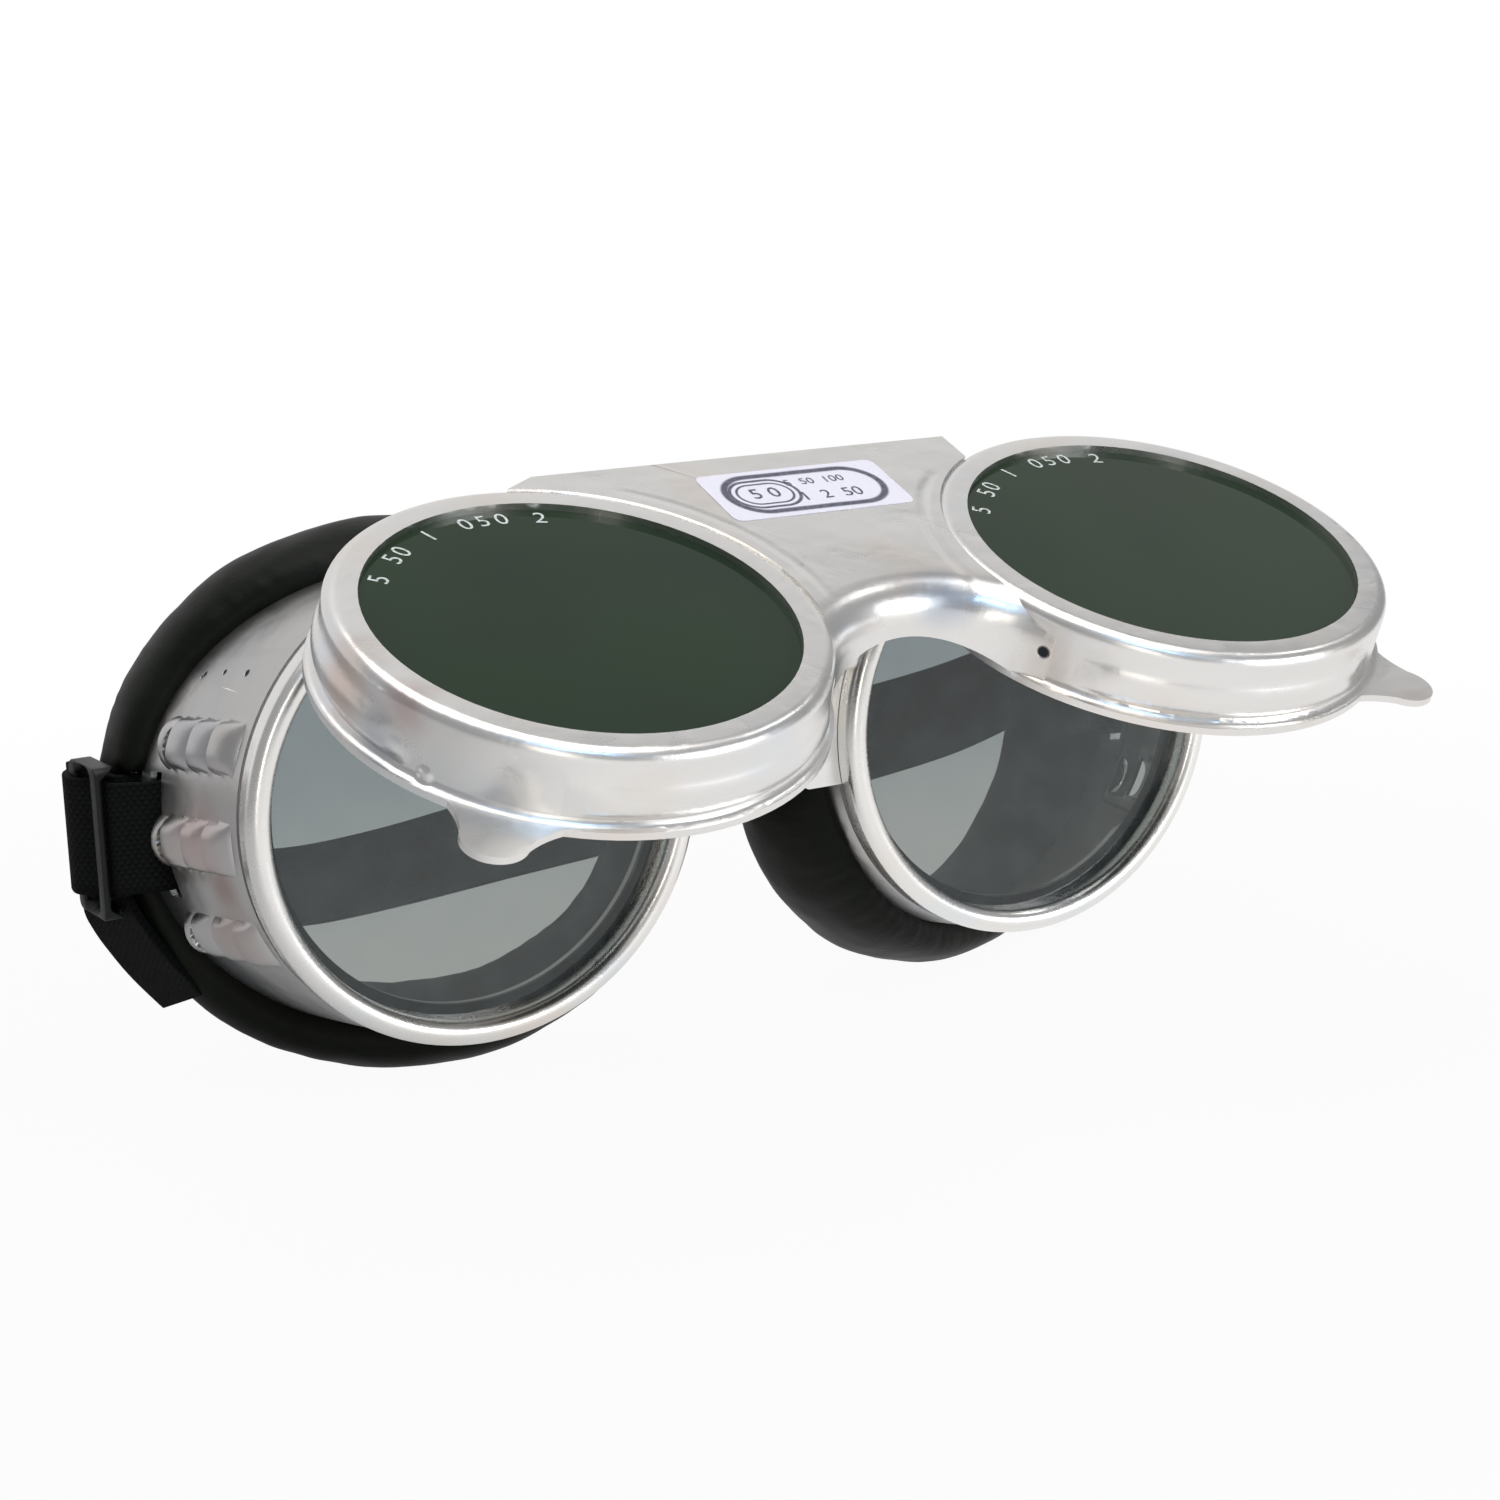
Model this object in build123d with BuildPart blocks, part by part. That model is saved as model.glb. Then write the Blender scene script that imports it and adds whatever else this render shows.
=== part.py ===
"""Flip-up welding goggles: two louvred aluminium eye cups and a drawn flip frame.

Millimetres. The fronts face -Y, +Z is up, +X is to the right seen from the front. right_*
pieces are on the +X side.
The origin is the middle of the nose bridge, halfway between the two clear glasses.
The flip frame is modelled where it stays when it is flipped up.
"""
from build123d import *
import math
import os

# ---------------------------------------------------------------- driving dimensions
lens_diameter = 50.0          # round welding glass, clear and dark
clear_thickness = 2.0
shade_thickness = 2.6
cup_spacing = 74.8            # between the centres of the two clear glasses
rim_toe_in = 1.0              # the dark glasses' centres are this much closer together
sheet = 0.8                   # drawn aluminium
side_gap = 0.15               # round a glass in its seat
slip = 0.10                   # between pieces of one assembly that slip together
air = 0.3                     # between soft pieces and their neighbours

# eye cups
neck_front = -0.9             # y of the neck's front edge
seat_width = 2.0              # how far the seat lip reaches in over the glass
shoulder_step = 2.1           # shoulder's radius over the glass's
shoulder_y = 1.2
rear_wider = 7.0              # rear edge's half width over the glass's radius
rear_taller = 2.0
rear_shift = 1.0              # rear edge's centre, towards the temple
rear_slant = 20.0             # degrees, the temple side is deeper than the nose side
rear_back = 1.0               # rear edge in front of the pad roll's middle

# face pads
pad_y = 20.5                  # centre of the pad roll
pad_z = -2.8
pad_shift = 0.1
pad_narrower = 2.2            # roll's middle line inside the rear edge, sideways
pad_taller = 1.0              # and outside it, above and below
roll_radial = 4.46
roll_axial = 8.4

# louvres on each temple side
louvre_columns = (6.6, 11.2, 15.8)     # y of each cut edge
louvre_rows = (-28.0, -3.5, 20.0)      # degrees round the cup from the temple
louvre_radius = 3.3
louvre_sink = 1.5             # ball centre under the sheet's outer face
louvre_wall = 0.6

# strap slots in each cup
slot_front = 17.8
slot_width = 2.6
slot_bar = 2.2
strap_width = 12.6
slot_height = strap_width + 1.6
strap_z = -2.9

# lens rings
bead_step = 0.725             # bead's crest circle over the glass's radius
bead_round = 1.425
ring_sheet = 0.65
bead_y = -1.25
ring_back = 0.25

# flip frame
open_angle = 67.0             # from closed to flipped up
aperture_step = 2.5           # rim's lip over the glass, all round
rim_play = 0.25               # round the dark glass
shoulder_round = 1.1
wall_end = -3.4
bead_end = -7.4
bead_swell = 0.6
flange_step = 1.25            # flange's radius over the rim's
rim_depth = 9.0
plate_step = 1.85             # plate's top edge over the rims
plate_ends = (-29.5, 24.4)    # the folded top edge, left and right
plate_slope = (4.0, 2.6)      # its left end slopes down to the rim
arch_top = -4.5               # front of the nose arch under the glasses' centre line
arch_round = 4.0
arch_depth = 8.6
arch_scallop = 3.2            # its edge is cut back in the middle
arch_scallop_half_width = 12.0
tab_angle = -50.0
tab_length = 7.75
tab_root = 12.4
tab_tip_radius = 3.4
relief_start = 9.55           # below the rims' tops
relief_flat = 6.05
relief_depth = 7.2
nose_hole = 1.2
nose_hole_angle = 206.4
bead_arcs = ((215.0, 84.0), (335.0, 65.0))
plain_arcs = ((299.0, 36.0), (40.0, 175.0))
flange_arc = (165.0, 235.0)

# flip-up hinge
hinge_y = -1.1
hinge_under_top = 3.95        # hinge axis under the plate's top edge, when closed
hinge_to_face = 10.9          # hinge axis behind the flip frame's front face
pin_radius = 1.0
pin_play = 0.05
barrel_radius = 1.7
leaf_half_width = 11.0
tongue_half_width = 5.0
knuckle_gap = 0.2
pin_head = 1.5
pin_head_length = 0.8

# nose bridge
bridge_y = 0.35
bridge_sheet = 0.75
loop_width = 0.7
web_overlap = 2.75            # how far the web reaches over each loop
web_top = 8.0
web_foot = -5.0
nose_arch = 13.0
nose_arch_z = -16.5

# strap and slide
webbing = 1.0
strap_slope = 1.5             # degrees, the strap runs outwards over the pad
strap_out = 32.65             # inner layer's middle from the cup's axis at strap_y
strap_y = 31.0
slide_bar = 0.6
slide_front = 21.6
slide_length = 8.8
slide_height = 17.4
slide_rail = 1.3
slide_drop = 0.9
strap_rear_y = 41.4
strap_end_y = 33.0
tail_front = 21.6
tail_width = 11.4
rear_steps = 32

# ---------------------------------------------------------------- derived values
lens_radius = lens_diameter / 2
neck_inner = lens_radius + side_gap
neck_outer = neck_inner + sheet
gasket_thickness = 0.6
seat_y = clear_thickness + gasket_thickness
cup_x = cup_spacing / 2
rim_x = cup_x - rim_toe_in / 2
shoulder_radius = lens_radius + shoulder_step
rear_half_width = lens_radius + rear_wider
rear_half_height = lens_radius + rear_taller
bead_radius = lens_radius + bead_step
loop_radius = neck_outer + loop_width
web_half_width = cup_spacing / 2 - loop_radius + web_overlap
rim_radius = lens_radius + rim_play + sheet
wall_centre = rim_radius - sheet / 2
flange_radius = rim_radius + flange_step
plate_top = rim_radius + plate_step
hinge_z = plate_top - hinge_under_top
lean = math.radians(open_angle)
up = Vector(0, math.sin(lean), math.cos(lean))
face = Vector(0, -math.cos(lean), math.sin(lean))
hinge = Vector(0, hinge_y, hinge_z)
frame_origin = hinge - up * hinge_z + face * hinge_to_face
frame_plane = Plane(origin=frame_origin, x_dir=(1, 0, 0), z_dir=face)
profile_plane = Plane(origin=frame_origin, x_dir=up, z_dir=(1, 0, 0))

slant = math.radians(rear_slant)
to_rear = Vector(-math.sin(slant), math.cos(slant), 0)     # right-hand cup
to_temple = Vector(math.cos(slant), math.sin(slant), 0)
pad_centre = Vector(cup_x + pad_shift, pad_y, pad_z)
pad_plane = Plane(origin=pad_centre, x_dir=-to_temple, z_dir=to_rear)
edge_centre = pad_centre + to_temple * rear_shift - to_rear * rear_back


def edge_plane(inset):
    """Slanted plane of the cup's rear edge, moved forward by inset."""
    return Plane(origin=edge_centre - to_rear * inset, x_dir=-to_temple, z_dir=to_rear)


def front_plane(y):
    """Upright plane across the right-hand cup, seen from behind."""
    return Plane(origin=(cup_x, y, 0), x_dir=(-1, 0, 0), z_dir=(0, 1, 0))


def cup_wall(degrees, y, depth=0.0):
    """Plane on the cup's outer face: X forward, Z out of the metal, sunk by depth.

    degrees runs round the cup from the temple, positive upwards.
    """
    turn = math.radians(degrees)
    front = Vector(cup_x + shoulder_radius * math.cos(turn), shoulder_y,
                   shoulder_radius * math.sin(turn))
    rear = (edge_centre + to_temple * (rear_half_width * math.cos(turn))
            + Vector(0, 0, rear_half_height * math.sin(turn)))
    along = rear - front
    point = front + along * ((y - shoulder_y) / along.Y)
    forward = -along.normalized()
    around = Vector(-math.sin(turn), 0, math.cos(turn))
    outward = around.cross(forward).normalized()
    if outward.X * math.cos(turn) + outward.Z * math.sin(turn) < 0:
        outward = -outward
    return Plane(origin=point - outward * depth, x_dir=forward, z_dir=outward)


def finish(part, name):
    """Label a finished piece and write its file."""
    part.label = name
    export_step(part, f"parts/{name}.step")


os.makedirs("parts", exist_ok=True)

# ---------------------------------------------------------------- eye cup
# Hollow body first: the sheet tapers from the round shoulder to the slanted oval edge.
with BuildPart() as body_core:
    with BuildSketch(front_plane(shoulder_y)):
        Circle(shoulder_radius - sheet)
    with BuildSketch(edge_plane(0)):
        Ellipse(rear_half_width - sheet, rear_half_height - sheet)
    loft(ruled=True)

with BuildPart() as right_cup:
    with BuildSketch(front_plane(shoulder_y)):
        Circle(shoulder_radius)
    with BuildSketch(edge_plane(0)):
        Ellipse(rear_half_width, rear_half_height)
    loft(ruled=True)
    # half balls, closed to the front and cut off flat behind
    for row in louvre_rows:
        for column in louvre_columns:
            with Locations(cup_wall(row, column, louvre_sink)):
                Sphere(louvre_radius, arc_size1=-90, arc_size2=90, arc_size3=180,
                       rotation=(0, 0, -90))
    add(body_core.part, mode=Mode.SUBTRACT)
    for row in louvre_rows:
        for column in louvre_columns:
            with Locations(cup_wall(row, column, louvre_sink)):
                Sphere(louvre_radius - louvre_wall, arc_size1=-90, arc_size2=90,
                       arc_size3=180, rotation=(0, 0, -90), mode=Mode.SUBTRACT)
    # neck, rolled shoulder and seat lip
    with BuildSketch(Plane(origin=(cup_x, 0, 0), x_dir=(1, 0, 0), z_dir=(0, 0, 1))):
        with Locations((neck_inner, neck_front)):
            Rectangle(sheet, seat_y + sheet - neck_front, align=(Align.MIN, Align.MIN))
        with Locations((neck_inner + sheet / 2, shoulder_y)):
            Rectangle(shoulder_radius - neck_inner - sheet / 2, sheet,
                      align=(Align.MIN, Align.MIN))
        with Locations((neck_inner + sheet / 2, seat_y)):
            Rectangle(seat_width + sheet / 2, sheet, align=(Align.MAX, Align.MIN))
    revolve(axis=Axis((cup_x, 0, 0), (0, 1, 0)))
    # two strap slots with a bar between them
    for start in (slot_front, slot_front + slot_width + slot_bar):
        wall = cup_wall(0, start + slot_width / 2)
        with Locations(Plane(origin=(wall.origin.X - 1, wall.origin.Y, strap_z),
                             x_dir=wall.x_dir, z_dir=wall.z_dir)):
            Box(slot_width, slot_height, 8 * sheet, mode=Mode.SUBTRACT)

# ---------------------------------------------------------------- the strap's way through the slots
front_mid = slot_front + slot_width / 2
rear_mid = front_mid + slot_width + slot_bar
wall_front_x = cup_wall(0, front_mid).origin.X
wall_rear_x = cup_wall(0, rear_mid).origin.X
strap_bow = 1.9               # flat webbing stands this far off the curved wall
strap_entry = rear_mid + 0.7
inside_x = (wall_front_x + wall_rear_x) / 2 - sheet - strap_bow - webbing / 2
temple_slope = math.tan(math.radians(strap_slope))
layer_gap = (webbing + slide_bar + 0.1) / math.cos(math.radians(strap_slope))


def layer_x(y, layer=0.0):
    """x of a webbing layer's middle over the right-hand pad: 0 inner, 1 outer."""
    return cup_x + strap_out + (y - strap_y) * temple_slope + layer * layer_gap


def threaded(side, layer, start, end):
    """Corners of the webbing's middle line, seen from above: in through the rear slot, out of
    the front one and back outside to end."""
    return [
        (side * layer_x(start), start),
        (side * layer_x(strap_entry), strap_entry),
        (side * inside_x, rear_mid - 0.6),
        (side * inside_x, front_mid + 0.6),
        (side * (wall_front_x + 1.0), front_mid - 0.4),
        (side * layer_x(front_mid + 2.4, layer), front_mid + 2.4),
        (side * layer_x(end, layer), end),
    ]


# ---------------------------------------------------------------- face pad
with BuildPart() as edge_room:
    with BuildSketch(front_plane(shoulder_y)):
        Circle(shoulder_radius + slip)
    with BuildSketch(edge_plane(-slip)):
        Ellipse(rear_half_width + slip, rear_half_height + slip)
    loft(ruled=True)
    with BuildSketch(front_plane(shoulder_y)):
        Circle(shoulder_radius - sheet - slip)
    with BuildSketch(edge_plane(-slip)):
        Ellipse(rear_half_width - sheet - slip, rear_half_height - sheet - slip)
    loft(ruled=True, mode=Mode.SUBTRACT)

with BuildSketch(pad_plane) as roll_outline:
    Ellipse(rear_half_width - pad_narrower, rear_half_height + pad_taller)
roll_path = roll_outline.sketch.face().outer_wire()
roll_start = Plane(origin=roll_path @ 0, x_dir=-to_temple, z_dir=roll_path % 0)

with BuildPart() as right_face_pad:
    with BuildSketch(roll_start):
        Ellipse(roll_radial, roll_axial)
    sweep(path=roll_path)
    add(edge_room.part, mode=Mode.SUBTRACT)
    # pressed flat under the strap
    with Locations(Location((layer_x(strap_y) - webbing / 2 - air, strap_y, 0),
                            (0, 0, -strap_slope))):
        Box(20, 200, 200, align=(Align.MIN, Align.CENTER, Align.CENTER), mode=Mode.SUBTRACT)
    # clear of the seat lip and the glass
    with BuildSketch(front_plane(0)):
        Circle(shoulder_radius + slip)
    extrude(amount=seat_y + sheet + air, mode=Mode.SUBTRACT)
    # stepped back where the strap goes in
    with Locations((wall_rear_x, strap_entry + webbing + air, strap_z)):
        Box(4 * roll_radial, 2 * roll_axial, strap_width + 2 * air,
            align=(Align.CENTER, Align.MAX, Align.CENTER), mode=Mode.SUBTRACT)

# ---------------------------------------------------------------- clear glass, gasket, lens ring
turn_plane = Plane(origin=(cup_x, 0, 0), x_dir=(1, 0, 0), z_dir=(0, 0, 1))
turn_axis = Axis((cup_x, 0, 0), (0, 1, 0))

with BuildPart() as right_clear_lens:
    with BuildSketch(front_plane(0)):
        Circle(lens_radius)
    extrude(amount=clear_thickness)
    chamfer(right_clear_lens.edges(), 0.25)

with BuildPart() as right_lens_gasket:
    with BuildSketch(front_plane(clear_thickness)):
        Circle(lens_radius - slip)
        Circle(neck_inner - seat_width, mode=Mode.SUBTRACT)
    extrude(amount=gasket_thickness)

with BuildPart() as right_lens_ring:
    with BuildSketch(turn_plane):
        with Locations((bead_radius, bead_y)):
            Circle(bead_round)
            Circle(bead_round - ring_sheet, mode=Mode.SUBTRACT)
            Rectangle(2 * bead_round, 2 * bead_round, align=(Align.CENTER, Align.MIN),
                      mode=Mode.SUBTRACT)
        with Locations((bead_radius - bead_round, bead_y)):
            Rectangle(ring_sheet, -bead_y, align=(Align.MIN, Align.MIN))
        with Locations((bead_radius + bead_round, bead_y)):
            Rectangle(ring_sheet, ring_back - bead_y, align=(Align.MAX, Align.MIN))
        # crimp that grips the neck
        with Locations((neck_outer + slip, ring_back)):
            Rectangle(bead_radius + bead_round - neck_outer - slip, ring_sheet,
                      align=(Align.MIN, Align.MAX))
    revolve(axis=turn_axis)

# ---------------------------------------------------------------- nose bridge
bridge_plane = Plane(origin=(0, bridge_y, 0), x_dir=(1, 0, 0), z_dir=(0, -1, 0))

with BuildPart() as nose_bridge:
    with BuildSketch(bridge_plane):
        with Locations((cup_x, 0), (-cup_x, 0)):
            Circle(loop_radius)
        with BuildLine():
            FilletPolyline((-web_half_width, web_foot), (-web_half_width, web_top),
                           (-tongue_half_width, web_top + 5), (-tongue_half_width, hinge_z),
                           (tongue_half_width, hinge_z), (tongue_half_width, web_top + 5),
                           (web_half_width, web_top), (web_half_width, web_foot),
                           radius=0.5, close=True)
        make_face()
        with Locations((0, nose_arch_z)):
            Circle(nose_arch, mode=Mode.SUBTRACT)
        with Locations((cup_x, 0), (-cup_x, 0)):
            Circle(neck_outer + slip, mode=Mode.SUBTRACT)
    extrude(amount=-bridge_sheet)
    with BuildSketch(Plane.YZ.offset(-tongue_half_width)):
        with Locations((hinge_y, hinge_z)):
            Circle(barrel_radius)
    extrude(amount=2 * tongue_half_width)
    with BuildSketch(Plane.YZ.offset(-tongue_half_width)):
        with Locations((hinge_y, hinge_z)):
            Circle(pin_radius + pin_play)
    extrude(amount=2 * tongue_half_width, mode=Mode.SUBTRACT)

with BuildPart() as hinge_pin:
    with BuildSketch(Plane.YZ):
        with Locations((hinge_y, hinge_z)):
            Circle(pin_radius)
    extrude(amount=leaf_half_width + slip, both=True)
    for end in (-1, 1):
        with BuildSketch(Plane.YZ.offset(end * (leaf_half_width + slip))):
            with Locations((hinge_y, hinge_z)):
                Circle(pin_head)
        extrude(amount=end * pin_head_length)
    ends = hinge_pin.faces().sort_by(Axis.X)
    fillet([ends[0].edge(), ends[-1].edge()], 0.5)

# ---------------------------------------------------------------- flip frame
rim_centre = frame_plane.from_local_coords((rim_x, 0, 0))
rim_axis = Axis(rim_centre, face)


def section_at(centre, degrees):
    """Plane through a rim's or arch's axis: X radial, Y towards the front."""
    turn = math.radians(degrees)
    radial = Vector(1, 0, 0) * math.cos(turn) + up * math.sin(turn)
    return Plane(origin=centre, x_dir=radial, z_dir=radial.cross(face))


with BuildPart() as right_rim:
    with BuildSketch(section_at(rim_centre, 0)):
        with BuildLine():
            FilletPolyline((lens_radius - aperture_step, -sheet / 2), (wall_centre, -sheet / 2),
                           (wall_centre, wall_end), radius=shoulder_round)
        trace(line_width=sheet)
    revolve(axis=rim_axis)
    for start, arc in bead_arcs:
        with BuildSketch(section_at(rim_centre, start)):
            with BuildLine():
                ThreePointArc((wall_centre, wall_end),
                              (wall_centre + bead_swell, (wall_end + bead_end) / 2),
                              (wall_centre, bead_end))
            trace(line_width=sheet)
        revolve(axis=rim_axis, revolution_arc=arc)
    for start, arc in plain_arcs:
        with BuildSketch(section_at(rim_centre, start)):
            with BuildLine():
                Line((wall_centre, wall_end), (wall_centre, bead_end))
            trace(line_width=sheet)
        revolve(axis=rim_axis, revolution_arc=arc)
    with BuildSketch(section_at(rim_centre, flange_arc[0])):
        with BuildLine():
            ThreePointArc((wall_centre, bead_end), (wall_centre + 0.45, bead_end - 0.8),
                          (flange_radius - 0.15, sheet / 2 - rim_depth))
        trace(line_width=sheet)
    revolve(axis=rim_axis, revolution_arc=flange_arc[1])
    # finger tab
    tab_turn = math.radians(tab_angle)
    tab_dir = Vector(1, 0, 0) * math.cos(tab_turn) + up * math.sin(tab_turn)
    with BuildSketch(Plane(origin=rim_centre - face * rim_depth, x_dir=tab_dir, z_dir=face)):
        with BuildLine():
            tip = rim_radius + tab_length
            tip_start = tip - tab_tip_radius
            root = Line((rim_radius, tab_root / 2), (rim_radius, -tab_root / 2))
            ThreePointArc(root @ 0, (tip_start - 1.6, tab_tip_radius + 0.7),
                          (tip_start, tab_tip_radius))
            ThreePointArc((tip_start, tab_tip_radius), (tip, 0), (tip_start, -tab_tip_radius))
            ThreePointArc((tip_start, -tab_tip_radius),
                          (tip_start - 1.6, -tab_tip_radius - 0.7), root @ 1)
        make_face()
    extrude(amount=sheet)
    # cut back behind the upper part, clear of the cup when flipped up
    with BuildSketch(profile_plane.offset(rim_x - 1.1 * rim_radius)):
        with BuildLine():
            Polyline((rim_radius - relief_start, -rim_depth - sheet),
                     (rim_radius - relief_start, -rim_depth + 0.2),
                     (rim_radius - relief_flat, -relief_depth),
                     (plate_top + sheet, -relief_depth),
                     (plate_top + sheet, -rim_depth - sheet), close=True)
        make_face()
    extrude(amount=2.2 * rim_radius, mode=Mode.SUBTRACT)
    # small drain hole in the nose side of the wall
    hole_turn = math.radians(nose_hole_angle)
    hole_dir = Vector(1, 0, 0) * math.cos(hole_turn) + up * math.sin(hole_turn)
    with Locations(Plane(origin=rim_centre + hole_dir * wall_centre - face * 4.6, z_dir=hole_dir)):
        Cylinder(nose_hole / 2, 4 * sheet, mode=Mode.SUBTRACT)

with BuildPart() as left_rim:
    mirror(right_rim.part, about=Plane.YZ)

# The nose arch just runs into both rims.
arch_reach = rim_radius + sheet / 2
arch_radius = (rim_x**2 + arch_top**2 - arch_reach**2) / (2 * (arch_reach + arch_top))
arch_centre = frame_plane.from_local_coords((0, arch_top - arch_radius, 0))
arch_half_angle = math.degrees(math.atan2(rim_x, arch_radius - arch_top))

with BuildPart() as flip_frame:
    # flat plate between the rims
    plate_left, plate_right = plate_ends
    with BuildSketch(frame_plane):
        with BuildLine():
            Polyline((plate_left - plate_slope[0], plate_top - plate_slope[1]),
                     (plate_left, plate_top - sheet / 2), (plate_right, plate_top - sheet / 2),
                     (plate_right, rim_radius - 4), (rim_x, 0), (rim_x, arch_top - 6),
                     (-rim_x, arch_top - 6), (-rim_x, rim_radius - 4), close=True)
        make_face()
        with Locations((0, arch_top - arch_radius)):
            Circle(arch_radius + arch_round + sheet, mode=Mode.SUBTRACT)
    extrude(amount=-sheet)
    # nose arch, drawn back and cut shallower in the middle
    with BuildSketch(section_at(arch_centre, 90 - arch_half_angle)):
        with BuildLine():
            FilletPolyline((arch_radius + 6, -sheet / 2), (arch_radius + sheet / 2, -sheet / 2),
                           (arch_radius + sheet / 2, -arch_depth), radius=arch_round)
        trace(line_width=sheet)
    revolve(axis=Axis(arch_centre, face), revolution_arc=2 * arch_half_angle)
    scallop = (arch_scallop_half_width**2 + arch_scallop**2) / (2 * arch_scallop)
    with Locations(Plane(origin=frame_plane.from_local_coords(
            (0, arch_top, arch_scallop - arch_depth - scallop)), z_dir=up)):
        Cylinder(scallop, 4 * arch_round, mode=Mode.SUBTRACT)
    # top edge, folded back, and the hinge leaf
    with BuildSketch(profile_plane.offset(plate_left)):
        with BuildLine():
            FilletPolyline((plate_top - 6, -sheet / 2), (plate_top - sheet / 2, -sheet / 2),
                           (plate_top - sheet / 2, -3.2), radius=1.4)
        trace(line_width=sheet)
    extrude(amount=plate_right - plate_left)
    with BuildSketch(profile_plane):
        with BuildLine():
            Line((plate_top - sheet / 2, -2.6),
                 (hinge_z + barrel_radius - sheet / 2, -hinge_to_face))
        trace(line_width=sheet)
    extrude(amount=leaf_half_width, both=True)
    with BuildSketch(profile_plane):
        with Locations((hinge_z, -hinge_to_face)):
            Circle(barrel_radius)
    extrude(amount=leaf_half_width, both=True)
    # room inside the rims, then the rims themselves
    with BuildSketch(frame_plane):
        with Locations((rim_x, 0), (-rim_x, 0)):
            Circle(wall_centre)
    extrude(amount=-2 * rim_depth, mode=Mode.SUBTRACT)
    add(right_rim.part)
    add(left_rim.part)
    # bore of the hinge knuckles and the notch for the middle knuckle
    with BuildSketch(profile_plane):
        with Locations((hinge_z, -hinge_to_face)):
            Circle(pin_radius + pin_play)
    extrude(amount=leaf_half_width, both=True, mode=Mode.SUBTRACT)
    with BuildSketch(profile_plane):
        with Locations((hinge_z, -hinge_to_face)):
            Circle(barrel_radius + air)
    extrude(amount=tongue_half_width + knuckle_gap, both=True, mode=Mode.SUBTRACT)

# ---------------------------------------------------------------- dark glass and its spring
with BuildPart() as right_shade_lens:
    with BuildSketch(frame_plane.offset(-sheet)):
        with Locations((rim_x, 0)):
            Circle(lens_radius)
    extrude(amount=-shade_thickness)
    chamfer(right_shade_lens.edges(), 0.45)

spring_wire = 0.55
with BuildPart() as right_shade_spring:
    with BuildSketch(section_at(rim_centre, 105)):
        with Locations((wall_centre - sheet / 2 - slip - spring_wire,
                        -sheet - shade_thickness - spring_wire)):
            Circle(spring_wire)
    revolve(axis=rim_axis, revolution_arc=330)

# ---------------------------------------------------------------- head strap
temple = layer_x(strap_y)
overlap_y = 28.0              # where the band behind the cups takes over from the ends

with BuildLine() as rear_line:
    Spline((-layer_x(overlap_y), overlap_y, strap_z), (-layer_x(33.0), 33.0, strap_z + 1.0),
           (-temple - 0.1, 37.3, strap_z), (-temple + 4.2, strap_rear_y, -6.0),
           (-temple + 14.0, strap_rear_y, -14.0), (-temple + 26.0, strap_rear_y, -17.2),
           (0, strap_rear_y, -13.9), (temple - 14.0, strap_rear_y, -7.6),
           (temple - 4.2, strap_rear_y, -4.6), (temple + 0.1, 37.3, -2.6),
           (layer_x(33.0), 33.0, strap_z), (layer_x(overlap_y), overlap_y, strap_z),
           tangents=((-temple_slope, 1, 0), (-temple_slope, -1, 0)))

tail_plane = Plane(origin=(-layer_x(tail_front), tail_front, strap_z), x_dir=(0, 0, 1),
                   z_dir=(-temple_slope, 1, 0))

with BuildPart() as head_strap:
    # each end goes in through the rear slot and comes out of the front one
    for side, layer, end in ((-1, 1.0, strap_end_y), (1, 0.6, 30.0)):
        with BuildSketch(Plane.XY.offset(strap_z - strap_width / 2)):
            with BuildLine():
                FilletPolyline(threaded(side, layer, overlap_y + 1, end), radius=0.55)
            trace(line_width=webbing)
        extrude(amount=strap_width)
    # band behind both cups, its width upright all the way
    for step in range(rear_steps + 1):
        run = rear_line.line % (step / rear_steps)
        with BuildSketch(Plane(origin=rear_line.line @ (step / rear_steps),
                               x_dir=(0, 0, 1), z_dir=(run.X, run.Y, 0))):
            Rectangle(strap_width, webbing)
    loft(ruled=True)
    # free tail, folded down under the slide and along the pad
    with BuildSketch(tail_plane):
        with BuildLine():
            Spline((-4.5, 0), (-9.7, 0), (-13.9, 0.8), (-17.6, 2.8), (-21.0, 5.4),
                   tangents=((-1, 0), (-0.76, 0.65)))
        trace(line_width=webbing)
    extrude(amount=tail_width)

# ---------------------------------------------------------------- strap slide
slide_thickness = slide_bar + webbing + slide_bar + 0.3
with BuildPart() as strap_slide:
    # local X points in to the cup, Y rearwards along the strap
    foot = layer_x(slide_front) + webbing / 2 + 0.15
    with Locations(Location((-foot, slide_front, strap_z - slide_drop), (0, 0, strap_slope))):
        Box(slide_thickness, slide_length, slide_height,
            align=(Align.MAX, Align.MIN, Align.CENTER))
        Box(slide_thickness, slide_length, slide_height - 2 * slide_rail,
            align=(Align.MAX, Align.MIN, Align.CENTER), mode=Mode.SUBTRACT)
        with Locations((0, (slide_length - 1.6) / 2, 0)):
            Box(slide_bar - 0.15, 1.6, slide_height, align=(Align.MAX, Align.MIN, Align.CENTER))
        with Locations((-slide_thickness + slide_bar, 0, 0),
                       (-slide_thickness + slide_bar, slide_length - 2, 0)):
            Box(slide_bar, 2, slide_height, align=(Align.MAX, Align.MIN, Align.CENTER))

# ---------------------------------------------------------------- both sides, labels and files
pairs = (
    (right_cup, "cup"), (right_face_pad, "face_pad"), (right_clear_lens, "clear_lens"),
    (right_lens_gasket, "lens_gasket"), (right_lens_ring, "lens_ring"),
    (right_shade_lens, "shade_lens"), (right_shade_spring, "shade_spring"),
)
for piece, name in pairs:
    with BuildPart() as left_piece:
        mirror(piece.part, about=Plane.YZ)
    finish(piece.part, "right_" + name)
    finish(left_piece.part, "left_" + name)

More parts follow.
